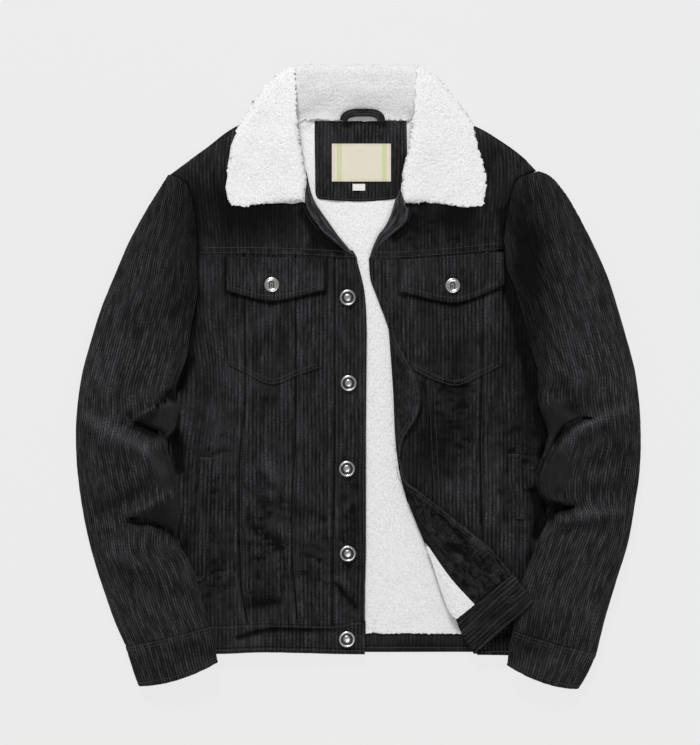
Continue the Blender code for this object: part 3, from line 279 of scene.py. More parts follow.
# darker or paler patches, partly the cloth's own tone and partly painted light: centre x, y, half width, half
# height, strength
# painted shade on the yokes under the collar, along the armholes and beside the neck strips; painted
# highlight on the sleeves' outer sides
NAP_AND_PAINTED_LIGHT = [(-85, 25, 50, 50, 0.28), (-100, -75, 40, 60, 0.15), (110, -20, 50, 90, 0.15),
       (-90, 185, 70, 22, 0.15),
       (105, 185, 70, 22, 0.15), (-125, 205, 75, 48, 0.74), (120, 205, 75, 48, 0.66),
       (205, 30, 26, 130, 0.62), (196, 150, 20, 60, 0.40),
       (-196, 120, 12, 100, 0.30), (-50, 167, 9, 16, 0.95), (66, 178, 10, 16, 0.3),
       (-217, 120, 14, 90, 0.22),
       (-300, 20, 30, 120, -0.16), (300, -40, 30, 110, -0.12), (-285, -270, 60, 60, -0.10),
       (270, -290, 60, 50, -0.12),
       (-100, 118, 50, 16, -0.22), (-104, -190, 60, 60, 0.10), (120, -110, 60, 90, 0.14),
       (200, -316, 60, 14, 0.35),
       (-56, 120, 12, 40, 0.25), (-20, -100, 16, 160, -0.05), (-205, -330, 30, 12, 0.2),
       (172, -286, 44, 28, 0.3),
       (228, 150, 40, 80, 0.30), (110, 60, 40, 50, 0.18), (110, -60, 60, 60, 0.22),
       (66, -325, 50, 9, 0.5)]

# painted shadow and highlight lines: x0, y0, x1, y1, strength, width; below 0 a highlight
# shadow under and beside the flaps, shade in the creases and along the armholes, highlight on crease ridges
FRONT_PAINTED_LIGHT = [
    (-158, 100, -104, 87.5, 0.8, 2.8), (-104, 87.5, -41, 100.5, 0.8, 2.8), (50, 98.5, 117, 85.5, 0.75, 2.8),
    (117, 85.5, 175, 106.5, 0.75, 2.8), (-28, -249, -4, -277, 0.9, 2.6), (-22, -243, 2, -264, -0.35, 4),
    (-130, -276, -96, -271, 0.5, 5), (-145, -314, -122, -307, 0.6, 2.6), (-122, -307, -100, -303, 0.6, 2.6),
    (-100, -303, -30, -305, 0.35, 2.4), (-113, -95, -100, -122, -0.3, 7), (-119, -151, -84, -157, 0.3, 5),
    (-127, -183, -90, -203, 0.3, 5), (-66, -160, -40, -171, 0.3, 4), (-199, -160, -176, -150, 0.35, 4),
    (-160.5, 143, -160.5, 101, 0.6, 1.7), (-38.5, 143, -38.5, 102, 0.6, 1.7), (48, 141, 48, 100, 0.45, 1.7),
    (177.5, 141, 177.5, 107, 0.5, 1.7), (-196, 146, -197, 40, 0.35, 3), (172, 200, 180, 100, 0.5, 5),
    (60, 186, 44, 170, 0.5, 5),
]
# painted highlight on the ridges of the sleeves' folds and painted shade on their dark facets and clefts: x0,
# y0, x1, y1, strength, width
SLEEVE_PAINTED_LIGHT = [
    (-324, -48, -254, -86, -0.75, 8), (-254, -86, -234, -112, -0.5, 8), (-312, -162, -257, -134, 0.5, 8),
    (-275, -166, -247, -151, -0.4, 4.5), (-247, -151, -221, -134, -0.3, 4.5),
    (-236, -158, -222, -180, 0.35, 10),
    (-269, -59, -243, -70, 0.9, 4), (-273, -53, -238, -33.5, -0.5, 2.5),
    (-238, -33.5, -217, -33, -0.4, 2.5),
    (-216, -34, -216, -48, -0.4, 2.5), (-226, -20, -219, -26, 0.9, 5), (-210, -195, -200, -210, 0.5, 4),
    (-300, -205, -262, -218, -0.3, 10), (-290, -232, -246, -246, 0.25, 12),
    (238, -82, 271, -54, -0.8, 6.5), (271, -54, 320, -37, -0.7, 7), (276, -50, 262, -53, 0.7, 3),
    (262, -53, 247, -62, 0.85, 3.5), (247, -62, 235, -80, 0.9, 4), (226, -27, 246, -28, -0.5, 7),
    (248, -34, 272, -46, 0.35, 4), (240, -14, 310, -36, 0.32, 13), (296, -62, 318, -90, 0.35, 10),
    (224, -151, 250, -157, 0.95, 6), (238, -159, 230, -168, 0.9, 5), (238, -168, 270, -162, -0.65, 5.5),
    (270, -162, 314, -160, -0.55, 6), (246, -180, 306, -178, 0.35, 8), (270, -128, 306, -134, 0.3, 9),
    (226, -150, 216, -136, 0.6, 1.6), (216, -136, 215, -118, 0.6, 1.6), (215, -118, 222, -98, 0.6, 1.6),
]
# cloth seen from the side of its fold, where no ribs show: outlines
SMOOTH_FACETS = [
    [(-273, -56), (-237, -35), (-216, -32), (-214, -50), (-224, -70), (-239, -68)],
    [(-275, -171), (-247, -156), (-216, -138), (-212, -190), (-232, -186), (-250, -174)],
    [(-252, -92), (-238, -84), (-214, -112), (-212, -136), (-232, -138), (-246, -128)],
    [(226, -27), (244, -26), (277, -50), (262, -54), (248, -62), (234, -82), (222, -60)],
    [(240, -86), (226, -98), (217, -120), (219, -142), (236, -146), (250, -136), (254, -104)],
]
# seams with painted shade in their groove and a paler allowance beside it: line, dark, half width, pale
SEAM_PAINTED_SHADE = [(LEFT_SEAM_A, 0.7, 1.5, 0.4), (LEFT_SEAM_B, 0.7, 1.5, 0.3),
               (LEFT_PLACKET_SEAM, 0.7, 1.5, 0.25),
               (RIGHT_SEAM_A, 0.7, 1.5, 0.35), (LEFT_ARMHOLE, 0.8, 3.2, 0.0),
               (RIGHT_ARMHOLE, 0.8, 3.2, 0.0)]
# painted shadow on the body in the gaps beside the arms' folds: centre x, y, half width, half height,
# strength
ARM_GAP_PAINTED_SHADOW = [(-219, -84, 7, 24, 0.9), (-214, 0, 6, 20, 0.6), (217, -36, 5, 24, 0.8), (224, -78, 7, 16, 0.9),
            (218, -168, 8, 22, 0.9), (-207, -205, 6, 20, 0.6), (206, -215, 6, 20, 0.6)]

# ---- small pieces -------------------------------------------------------------------------
POCKET_LEFT = {"x": (-157, -43), "top": 136, "low": [(-157, 14), (-137, 4), (-104, -10), (-72, 1),
                                                     (-43, 11)]}
POCKET_RIGHT = {"x": (58, 173), "top": 136, "low": [(58, 12), (84, -2), (117, -12), (146, 0), (173, 13)]}
FLAP_LEFT = {"x": (-158, -41), "top": (144, 142), "low": [(-158, 103), (-104, 91), (-41, 104)]}
FLAP_RIGHT = {"x": (50, 175), "top": (140, 150), "low": [(50, 102), (117, 89), (175, 110)]}
WELT_LEFT = {"left": [(-199, -244), (-195, -160), (-191, -98)], "right": [(-184, -244), (-178, -160),
                      (-175, -98)]}
WELT_RIGHT = {"left": [(188, -170), (181, -130), (179, -94)], "right": [(201, -170), (197, -130),
                       (196, -94)]}
FRONT_BUTTONS = [(-13, 95), (-12, -8), (-14, -111), (-13, -213), (-14, -316)]
FLAP_BUTTONS = {"left": (-104, 110), "right": (113, 109)}
NECK_FACING_LEFT = {
    "inner": [(-5.5, 147), (-24, 169), (-36, 186), (-50, 206), (-57, 222), (-62.5, 246)],
    "outer": [(-11, 147), (-42, 173), (-49, 182), (-59, 197), (-64, 210), (-64.5, 246)],
}
NECK_FACING_RIGHT = {
    "inner": [(12.6, 141), (17, 155), (24, 170), (31, 179), (39, 195), (44, 212), (52, 231)],
    "outer": [(14.5, 141), (22, 154), (32, 163), (44, 174), (56, 184), (60, 192), (60, 202),
              (54, 209), (54, 231)],
}
PATCH = {"x": (-53, 58), "y": (214, 308), "sag": 3.0}
LABEL = {"x": (-32, 39), "y": (235, 280.5)}
LABEL_BANDS = [(-26, -20), (28, 34)]
SIZE_TAB = {"x": (-7, 8), "y": (224, 232)}
LOOP_ROUTE = [(-17.8, 307.2, 0.0), (-17.2, 310.0, 0.4), (-14.6, 313.3, 1.0), (-9, 315.9, 1.6),
              (0, 316.9, 2.0),
              (12, 316.9, 2.0), (20.4, 315.7, 1.6), (25.4, 312.6, 1.0), (27.0, 309.6, 0.4),
              (27.2, 307.2, 0.0)]
LOOP_HALF = 4.9          # half the width of the loop's flat band
LOOP_FLOOR = 15.6
LOOP_STEPS = 72          # along the loop
LOOP_SEGMENTS = 24       # round it

# ---- lining, inside face of the waistband and turned corner: columns x, y -------------------
LINING_LEFT = [(-206, -310), (-206, -172), (-202, -80), (-192, -14), (-180, 50), (-173, 104), (-173, 160),
               (-178, 200), (-190, 226), (-140, 272), (-88, 304), (-84, 309)]
LINING_RIGHT = [(206, -310), (204, -172), (204, -70), (190, -14), (182, 50), (160, 104), (154, 160),
                (160, 200), (178, 230), (130, 272), (84, 304), (80, 309)]
# the lines between which the open front shows the lining
SEEN_LEFT = [(-4, -310), (-14, 140), (-60, 180), (-82, 210), (-83, 309)]
SEEN_RIGHT = [(150, -310), (128, -280), (92, -200), (55, -80), (48, 60), (30, 110), (34, 150), (68, 190),
              (78, 309)]
LINING_ROWS = 440
LINING_COLUMNS = 124     # across the stretch that shows
HIDDEN_COLUMNS = 6       # and on either side of it
BAND_INSIDE = {"x": (-224, 222), "y": (-331, -309)}
# columns: y, shift of the turned strip's ribs
STRIP_LEAN = [(-290, 118), (-235, 78), (-190, 38), (-150, 12), (-110, 2), (-60, 0)]

# ---- cuffs, from where they join the sleeve ------------------------------------------------
CUFF_TOP_ROWS = [0, 1.0, 1.7, 2.3, 2.9, 3.8, 5.0, 6.4, 7.4, 8.2, 9.2, 10.2]
CUFF_MOUTH_ROWS = [8.4, 7.2, 6.0, 4.8, 3.6, 2.4, 1.3, 0.6, 0]
CUFF_HEM = 5.0           # the hem's stitches from the mouth

# ---- buttons and buttonholes --------------------------------------------------------------
# columns: centre x, y, direction in degrees, length
BUTTONHOLES = [(115.5, -195, -58, 8.0), (182, -266, 42, 8.0)]
BUTTON_SEGMENTS = 48
FRONT_BUTTON_RADIUS = 10.0
FLAP_BUTTON_RADIUS = 9.2
# columns: part of the radius, height
BUTTON_PROFILE = [(0.0, 0.0), (0.55, 0.0), (0.93, 0.4), (1.0, 1.1), (1.0, 1.9), (0.965, 2.7), (0.90, 3.3),
                  (0.82, 3.5), (0.75, 3.35), (0.71, 2.9), (0.68, 2.3), (0.64, 2.0), (0.50, 1.95),
                  (0.46, 2.1),
                  (0.42, 2.5), (0.34, 2.85), (0.2, 3.1), (0.0, 3.15)]
DARK_RINGS = range(10, 14)    # rings of the profile whose metal is painted dark, a painted reflection in the button's groove
FLAP_PROFILE = [(0.0, 0.0), (0.55, 0.0), (0.93, 0.4), (1.0, 1.1), (1.0, 1.9), (0.96, 2.6), (0.90, 3.0),
                (0.80, 3.1), (0.68, 3.0), (0.62, 2.6), (0.56, 2.5), (0.2, 2.7), (0.0, 2.7)]
# dark bars on the flap buttons, painted reflections on their faces, as parts of the radius: x0, x1, y0, y1
FLAP_MARKS = [(-0.34, -0.20, -0.42, 0.36), (0.18, 0.32, -0.42, 0.30), (-0.26, 0.24, 0.30, 0.44),
              (-0.07, 0.06, -0.30, 0.10)]

# ---- camera and light ---------------------------------------------------------------------
CAMERA_PLACE = (-10.2, 4.8, 2503.0)
CAMERA_LENS = 100.0
SKY = 0.345              # strength of the even light from all round
FLOOR_GLOW = 0.78
# columns: name, place in metres, diameter, power
LAMPS = [("key", (-0.4, 2.0, 1.9), 0.7, 54.0), ("fill", (0.4, -1.3, 2.1), 1.6, 19.0)]


# ---- curves and grids ---------------------------------------------------------------------
def table_value(table, key):
    keys, values = zip(*table)
    return np.interp(key, keys, values)


def x_at(line, y):
    """Where a line that runs up the cloth stands at the height y."""
    return table_value([(q, p) for p, q in line], y)


def run_along(line):
    """Length along a line of points up to each of them."""
    return np.concatenate([[0], np.cumsum(np.linalg.norm(np.diff(line, axis=0), axis=1))])


def placed(values, run, line):
    """The points of a line where its run has the given values."""
    return np.stack([np.interp(values, run, column) for column in line.T], -1)


def smooth(table, parts, steps=12):
    """Points at even lengths along a Catmull-Rom curve; parts is a count or a list of shares."""
    points = np.array(table, float)
    here, after = points[:-1], points[1:]
    before = np.vstack([2 * here[:1] - after[:1], points[:-2]])
    beyond = np.vstack([points[2:], 2 * after[-1:] - here[-1:]])
    t = (np.arange(steps) / steps)[None, :, None]
    p0, p1, p2, p3 = (p[:, None] for p in (before, here, after, beyond))
    fine = 0.5 * (2 * p1 + (p2 - p0) * t + (2 * p0 - 5 * p1 + 4 * p2 - p3) * t ** 2
                  + (3 * p1 - p0 - 3 * p2 + p3) * t ** 3)
    fine = np.vstack([fine.reshape(-1, points.shape[1]), points[-1:]])
    run = run_along(fine)
    shares = np.linspace(0, 1, parts + 1) if isinstance(parts, int) else np.asarray(parts)
    return placed(shares * run[-1], run, fine)


def straight(table, step):
    """Points no further apart than step along straight lines."""
    points = np.array(table, float)
    run = run_along(points)
    return placed(np.linspace(0, run[-1], max(2, math.ceil(run[-1] / step) + 1)), run, points)


def between(table, x0, x1):
    """The stretch of a crossing seam from x0 to x1."""
    whole = smooth(table, 60)
    xs = np.linspace(x0, x1, max(2, round((x1 - x0) / 12)) + 1)
    return np.stack([xs, np.interp(xs, whole[:, 0], whole[:, 1])], 1)


def patch(left, right, bottom, top, columns, rows):
    """Grid (rows, columns, 2) in a four-sided outline, blended from its sides."""
    us, vs = np.linspace(0, 1, columns), np.linspace(0, 1, rows)
    lefts, rights = smooth(left, vs)[:, None], smooth(right, vs)[:, None]
    bottoms, tops = smooth(bottom, us)[None], smooth(top, us)[None]
    u, v = us[None, :, None], vs[:, None, None]
    c00, c10, c01, c11 = lefts[:1], rights[:1], lefts[-1:], rights[-1:]
    corners = (c00 * (1 - u) + c10 * u) * (1 - v) + (c01 * (1 - u) + c11 * u) * v
    return lefts * (1 - u) + rights * u + bottoms * (1 - v) + tops * v - corners


def shifted(line, distance):
    """A line moved to its own left."""
    steps = np.gradient(line, axis=0)
    steps /= np.linalg.norm(steps, axis=1)[:, None] + 1e-9
    return line + np.stack([-steps[:, 1], steps[:, 0]], 1) * distance


def offset(line, distance, trim=0.0):
    """A line moved to its own left, with trim taken off both ends."""
    moved = shifted(line, distance)
    run = run_along(moved)
    if run[-1] < 2 * trim + 4:
        return moved[:0]
    return placed(np.linspace(trim, run[-1] - trim, max(4, round(run[-1] / 2.5))), run, moved)


def noise(x, y, seed):
    """Smooth value noise from -1 to 1, one lattice point to a unit."""
    x, y = np.asarray(x, float), np.asarray(y, float)
    i, j = np.floor(x).astype(np.int64), np.floor(y).astype(np.int64)
    fx, fy = x - i, y - j
    fx, fy = fx * fx * (3 - 2 * fx), fy * fy * (3 - 2 * fy)

    def corner(di, dj):
        n = ((i + di) * 374761393 + (j + dj) * 668265263 + seed * 974634777) & 0x7FFFFFFF
        n = ((n ^ (n >> 13)) * 1274126177) & 0x7FFFFFFF
        return ((n ^ (n >> 16)) & 0xFFFF) / 0x7FFF - 1.0

    low = corner(0, 0) * (1 - fx) + corner(1, 0) * fx
    high = corner(0, 1) * (1 - fx) + corner(1, 1) * fx
    return low * (1 - fy) + high * fy


def curls(x, y, cell, seed):
    """Height of a pile of round tufts, 0 to 1, from the nearest of a jittered lattice."""
    i, j = np.floor(x / cell).astype(np.int64), np.floor(y / cell).astype(np.int64)
    best = np.full(np.shape(x), 9.0)
    for di in (-1, 0, 1):
        for dj in (-1, 0, 1):
            a, b = (i + di).astype(float), (j + dj).astype(float)
            px = (a + 0.5 + 0.45 * noise(a, b, seed)) * cell
            py = (b + 0.5 + 0.45 * noise(a, b, seed + 7)) * cell
            size = 1 + 0.3 * noise(a, b, seed + 3)
            best = np.minimum(best, np.hypot(x - px, y - py) / (cell * size))
    return np.sqrt(np.clip(1 - (best / 0.85) ** 2, 0, 1))


def spots(table, x, y):
    """Soft patches: columns centre x, y, half width, half height, strength."""
    return sum(strength * np.exp(-((x - x0) / wide) ** 2 - ((y - y0) / tall) ** 2)
               for x0, y0, wide, tall, strength in table)


def tone_and_painted_light(x, y):
    """How dark the cloth is painted, up to 1: a blotchy tone of its own plus the painted shade and highlight
    of the patches above; below 0 a painted highlight.
    """
    blotch = 0.14 * noise(x / 75, y / 95, 91) + 0.10 * noise(x / 30, y / 38, 92)
    return np.clip(0.22 + blotch + spots(NAP_AND_PAINTED_LIGHT, x, y), -1, 1)


# ---- heights ------------------------------------------------------------------------------
def ramp(value, start, end):
    """0 at start and 1 at end, eased at both."""
    t = np.clip((value - start) / (end - start), 0, 1)
    return t * t * (3 - 2 * t)


def quarter(share):
    """Height of a rounded edge: 0 at a share of 0 and 1 from a share of 1."""
    return np.sqrt(1 - (1 - np.clip(share, 0, 1)) ** 2)


def fold_height(table, x, y):
    """Straight ridges and troughs: columns x0, y0, x1, y1, height, width."""
    total = np.zeros(np.broadcast(x, y).shape)
    for x0, y0, x1, y1, height, width in table:
        dx, dy = x1 - x0, y1 - y0
        along = np.clip(((x - x0) * dx + (y - y0) * dy) / (dx * dx + dy * dy), 0, 1)
        total += height * np.exp(-((x - x0 - along * dx) ** 2 + (y - y0 - along * dy) ** 2) / width ** 2)
    return total


def nearest_on(line, x, y):
    """Distance to a line of points, signed with its own left positive, and the share along it."""
    line = np.asarray(line, float)
    run = run_along(line)
    best = np.full(np.broadcast(x, y).shape, np.inf)
    side, share = np.ones(best.shape), np.zeros(best.shape)
    for (x0, y0), (x1, y1), start, end in zip(line, line[1:], run, run[1:]):
        dx, dy = x1 - x0, y1 - y0
        along = np.clip(((x - x0) * dx + (y - y0) * dy) / (dx * dx + dy * dy + 1e-9), 0, 1)
        far = np.hypot(x - x0 - along * dx, y - y0 - along * dy)
        closer = far < best
        best = np.where(closer, far, best)
        side = np.where(closer, np.sign(dx * (y - y0) - dy * (x - x0) + 1e-9), side)
        share = np.where(closer, (start + along * (end - start)) / run[-1], share)
    return best * side, share


def away_from(line, x, y):
    """Distance to a line of points."""
    return np.abs(nearest_on(line, x, y)[0])


def hollow_height(x, y):
    """Sunk cloth between the edges of a folded sleeve, with clefts beside the edges."""
    total = np.zeros(np.broadcast(x, y).shape)
    for upper, lower, upper_depth, lower_depth, rim in SLEEVE_HOLLOWS:
        above, below = nearest_on(upper, x, y)[0], nearest_on(lower, x, y)[0]
        inside = ramp(np.minimum(-above, -below), -0.4, 1.8) * ramp(np.maximum(-above, -below), 85, 65)
        share = np.abs(above) / (np.abs(above) + np.abs(below) + 1e-6)
        total -= inside * (upper_depth + (lower_depth - upper_depth) * share)
        total += rim * np.exp(-(below / 7) ** 2) * ramp(below, 0, 1.5) * (1 - inside)
    for line, depth, first, last in SLEEVE_CLEFTS:
        total -= depth * cleft_share(line, first, last, x, y)
    return total


def cleft_share(line, first, last, x, y):
    """1 along a line and 0 away from it, with a width that changes from first to last."""
    distance, share = nearest_on(line, x, y)
    return np.exp(-(distance / (first + (last - first) * share)) ** 2)


def sleeve_tone_and_painted_light(x, y):
    """Painted shade in the clefts and on the folds' dark facets and painted highlight on their ridges, over
    the cloth's own tone.
    """
    shade = tone_and_painted_light(x, y) + fold_height(SLEEVE_PAINTED_LIGHT, x, y)
    # painted shade deep in each cleft
    for line, _, first, last in SLEEVE_CLEFTS[:-1]:
        shade = shade + 0.5 * cleft_share(line, 0.7 * first, 0.7 * last, x, y)
    return np.clip(shade, -1, 1)


def sleeve_bare(x, y):
    """1 where the folded sleeve shows no ribs."""
    total = np.zeros(np.broadcast(x, y).shape)
    for outline in SMOOTH_FACETS:
        within = np.zeros(total.shape, bool)
        for (x0, y0), (x1, y1) in zip(outline, outline[1:] + outline[:1]):
            crosses = (y0 > y) != (y1 > y)
            within ^= crosses & (x < x0 + (y - y0) * (x1 - x0) / (y1 - y0 + 1e-9))
        rim = away_from(outline + outline[:1], x, y)
        total = np.maximum(total, np.where(within, ramp(rim, 0, 5), 0.0))
    return 0.85 * total


def is_wide(side, x, y):
    return np.abs(x) > table_value([(q, abs(p)) for p, q in BODY_EDGE[side]], y)


def by_side(x, measure):
    """A measure taken with the left or the right table, whichever side each point is on."""
    return np.where(x < 0, measure("left"), measure("right"))


def body_depth(x, y):
    """Distance inside the body's edge and hem, below 0 outside them."""
    def measure(side):
        depth = away_from(BODY_EDGE[side], x, y)
        return np.minimum(np.where(is_wide(side, x, y), -depth, depth), y - HEM_Y)
    return by_side(x, measure)


def inside_turn(x, y):
    """Distance from where the fronts turn down to the table."""
    def measure(side):
        depth = away_from(HIDDEN_EDGE[side], x, y)
        outside = (y < HIDDEN_EDGE[side][-1][1]) & is_wide(side, x, y)
        return np.minimum(np.where(outside, -depth, depth), 0.8 * (table_value(SHOULDER_LINE, x) - y))
    return by_side(x, measure)


def front_floor(x, y):
    """Underside of the fronts, which bulge over the lining and carry the main folds."""
    across = (np.abs(x) - 130) / 130
    loft = FRONT_LOFT * np.maximum(0.0, 1 - across * across)
    full = FRONT_FLOOR + np.maximum(0.0, loft + fold_height(FRONT_FOLDS, x, y))
    return EDGE_FLOOR + (full - EDGE_FLOOR) * quarter(inside_turn(x, y) / EDGE_RADIUS)


def front_top(x, y):
    return front_floor(x, y) + FRONT_WALL


def wrinkles(x, y):
    """Short wrinkles that lie across the ribs."""
    return noise(x / 15 + 0.4 * noise(x / 9, y / 9, 8), y / 5.5, 7) + 0.5 * noise(x / 8, y / 3.6, 9)


def puckered(x, y):
    """How much the sewing and wear have puckered the fronts at a place."""
    return spots(PUCKERS, x, y)


def front_small(x, y):
    """Small creases and unevenness of worn corduroy on the fronts."""
    waves = 0.8 * noise(x / 31, y / 44, 3) + 0.4 * noise(x / 13, y / 17, 5)
    creases = fold_height(FRONT_CREASES, x, y) + 1.3 * fold_height(BAND_CREASES, x, y)
    return waves + creases + 1.4 * wrinkles(x, y) * puckered(x, y)


def front_surface(x, y):
    """Outer face of the fronts, which never sinks into the lining."""
    lowest = np.where(np.abs(x) < LINING_HALF, LINING_TOP + 1.4, BACK_WALL + 3.5)
    return np.maximum(lowest, front_top(x, y) + front_small(x, y))


def front_tone_and_painted_light(x, y):
    """Paler on raised creases, partly worn and partly a painted highlight, and painted shade in hollows and
    beside the arms.
    """
    total = tone_and_painted_light(x, y) - 0.2 * front_small(x, y) + fold_height(FRONT_PAINTED_LIGHT, x, y)
    # painted shadow in the gaps beside the arms
    total += spots(ARM_GAP_PAINTED_SHADOW, x, y)
    # painted shade in short dashes where the fronts are puckered
    total += 0.75 * puckered(x, y) * ramp(noise(x / 6, y / 3.2, 71) - 0.5 * wrinkles(x, y), 0.25, 0.75)
    # painted shade in each seam's groove and a paler band on its allowance
    for line, dark, wide, pale in SEAM_PAINTED_SHADE:
        beside = away_from(line, x, y)
        total += dark * np.exp(-(beside / wide) ** 2) - pale * np.exp(-((beside - 4.6) / 2.2) ** 2)
    return np.clip(total, -1, 1)


def sleeve_support(x, y):
    """Height of the body under a sleeve, which falls away past the body's edge and toward the shoulder."""
    inner_x = np.copysign(np.minimum(np.abs(x), 225), x)
    height = front_top(inner_x, np.minimum(-60, np.maximum(y, HEM_Y + 20))) + 1.5
    return height * ramp(body_depth(x, y), -32, -5) * (1 - 0.85 * ramp(y, 20, 60))


def turned_floor(x, y):
    """Underside of the turned-back corner: it rolls up from the fold and climbs the sleeve."""
    roll = 5.0 * (1 - np.exp(-np.maximum(0.0, x - x_at(ROLL_LINE, y)) / 9.0))
    lift = 18.0 * ramp(x, 158, 204) * ramp(y, -150, -220)
    return front_top(x, y) + 1.2 + roll + lift + fold_height(TURNED_FOLDS, x, y)


def front_bare(x, y):
    """Patches where wear has rubbed the ribs flat, most of them where the cloth is puckered."""
    rubbed = ramp(noise(x / 15, y / 12, 72) + 0.5 * noise(x / 5, y / 4, 73), 0.05, 0.6)
    return rubbed * np.clip(0.25 + 0.75 * puckered(x, y), 0, 0.8)


def slanted(x, y):
    """Places across and along the way that the facing is crushed."""
    return x * 0.75 + y * 0.66, x * 0.66 - y * 0.75


def turned_small(x, y):
    """Crumples of the turned-back corner's facing, which are slight on its band."""
    facing = ramp(y - 0.62 * x, -372, -358)
    across, along = slanted(x, y)
    crumple = noise(across / 5 + noise(x / 12, y / 12, 64), along / 13, 61)
    crumple = crumple + 0.5 * noise(across / 9, along / 5, 62)
    crushed = fold_height(TURNED_CREASES, x, y) - 1.1 * crinkles(x, y)
    return (0.2 + 0.7 * facing) * crumple + facing * crushed


def crinkles(x, y):
    """Fine sharp lines of crushed cloth, 1 on a line, that run down and across the facing."""
    across, along = slanted(x, y)
    bent = 0.7 * noise(x / 9, y / 9, 66)
    first = np.exp(-((noise(across / 6 + bent, along / 15, 65) - 0.1) / 0.12) ** 2)
    second = np.exp(-((noise(across / 13, along / 5 + bent, 67) + 0.1) / 0.1) ** 2)
    broken = ramp(noise(x / 8, y / 8, 69), -0.5, 0.4)
    return np.maximum(first * broken, 0.9 * second * (1 - 0.7 * broken)) * ramp(y, 10, -110)


def turned_surface(x, y):
    """Inner side of the turned-back corner, which shows its facing and band."""
    return turned_floor(x, y) + FACING_WALL + turned_small(x, y)


def turned_tone_and_painted_light(x, y):
    """Painted shade in the crinkles and the facing's hollows, painted highlight on its raised crumples, and
    paler beside the sewn edge.
    """
    edge = np.exp(-((away_from(TURNED_EDGE, x, y) - 2.5) / 2.2) ** 2)
    blotch = 0.25 * noise(x / 13, y / 13, 68) + 0.35 * noise(x / 2.4, y / 2.4, 70)
    shade = 0.5 + blotch + 0.7 * crinkles(x, y) - 0.16 * turned_small(x, y) - 0.4 * edge
    return np.clip(shade, -1, 1)


def collar_floor(x, y):
    """Underside of a collar leaf, on the yoke and down past the shoulder to the table."""
    inner_y = np.minimum(y, table_value(SHOULDER_LINE, x) - 20)
    full = front_top(x, inner_y) + LAYER_GAP
    return 0.3 + (full - 0.3) * quarter((inside_turn(x, y) + 9) / EDGE_RADIUS)


def collar_top(roll, x, y, rim):
    """Top of a collar leaf: highest along the roll beside the neck, rounded down at its rim."""
    crest = COLLAR_CREST - 5.5 * ramp(np.abs(x - x_at(roll, y)), 0, 60) - 4.0 * ramp(y, 300, 210)
    floor = collar_floor(x, y)
    return floor + (crest - floor) * (0.35 + 0.65 * quarter(rim / 12))


def rib_profile(phase):
    """Height of a corduroy rib, 0 in the valleys and 1 on the ridges."""
    return 1 - np.abs(2 * (phase - np.floor(phase)) - 1) ** 2.4


def pile(x, y, height):
    """Curly sherpa: round tufts of two sizes over gentle swells."""
    wx, wy = x + 0.9 * noise(x / 4, y / 4, 31), y + 0.9 * noise(x / 4, y / 4, 32)
    tufts = 0.45 * curls(wx, wy, 3.4, 41) + 0.55 * curls(wx, wy, 2.0, 43)
    return height * tufts + 0.4 * noise(x / 16, y / 16, 33)


# ---- meshes -------------------------------------------------------------------------------
def spread(count, step):
    """Indexes of a coarser grid over count points, with both ends."""
    return sorted(set(list(range(0, count, step)) + [count - 1]))


def closed_faces(rows, columns, row_step, column_step):
    """Faces of a fine grid, a coarser one under it and the walls between them."""
    index = np.arange(rows * columns).reshape(rows, columns)
    top = np.stack([index[:-1, :-1], index[:-1, 1:], index[1:, 1:], index[1:, :-1]], -1)
    js, ks = spread(rows, row_step), spread(columns, column_step)
    low = rows * columns + np.arange(len(js) * len(ks)).reshape(len(js), len(ks))
    under = np.stack([low[:-1, :-1], low[1:, :-1], low[1:, 1:], low[:-1, 1:]], -1)
    faces = top.reshape(-1, 4).tolist() + under.reshape(-1, 4).tolist()
    for m, (j0, j1) in enumerate(zip(js, js[1:])):
        faces.append(index[j0:j1 + 1, 0].tolist() + [int(low[m + 1, 0]), int(low[m, 0])])
        faces.append(index[j0:j1 + 1, -1][::-1].tolist() + [int(low[m, -1]), int(low[m + 1, -1])])
    for m, (k0, k1) in enumerate(zip(ks, ks[1:])):
        faces.append(index[0, k0:k1 + 1][::-1].tolist() + [int(low[0, m]), int(low[0, m + 1])])
        faces.append(index[-1, k0:k1 + 1].tolist() + [int(low[-1, m + 1]), int(low[-1, m])])
    return faces, js, ks


def make_object(name, verts, faces, material, grain=None, sharp=72):
    """A smooth-shaded object in metres. Each vertex's grain says where it is across and along the ribs, and
    on corduroy how dark its own tone and painted shade make it there and how bare of ribs it is."""
    mesh = bpy.data.meshes.new(name)
    verts = np.array(verts, float)
    verts[:, 2] = np.maximum(verts[:, 2], 0.0)
    mesh.from_pydata((verts * MM).tolist(), [], faces)
    mesh.update()
    if grain is not None:
        corner = np.zeros(len(mesh.loops), np.int32)
        mesh.loops.foreach_get("vertex_index", corner)
        grain = np.asarray(grain, np.float32)[corner]
        for uv_layer, first in (("grain", 0), ("nap", 2))[:grain.shape[1] // 2]:
            mesh.uv_layers.new(name=uv_layer).data.foreach_set("uv", grain[:, first:first + 2].ravel())
    mesh.shade_smooth()
    mesh.set_sharp_from_angle(angle=math.radians(sharp))
    mesh.materials.append(material)
    thing = bpy.data.objects.new(name, mesh)
    bpy.context.scene.collection.objects.link(thing)
    return thing


def rib_height(phase, distance):
    """Height of the ribs about their middle, pressed flat toward a seam."""
    return (rib_profile(phase) - 0.5) * (0.35 + 0.65 * ramp(distance, 0, 1.5))


def points_of(*grids):
    """The points of several grids as one list."""
    return np.vstack([grid.reshape(-1, grid.shape[-1]) for grid in grids])


def two_faced(name, top, low, material, grain, row_step=5, column_step=RIB_STEPS, flip=False):
    """Closed cloth between a fine outer grid and the same grid's coarser inner side."""
    faces, js, ks = closed_faces(*top.shape[:2], row_step, column_step)
    if flip:
        faces = [face[::-1] for face in faces]
    coarse = np.ix_(js, ks)
    return make_object(name, points_of(top, low[coarse]), faces, material, points_of(grain, grain[coarse]))


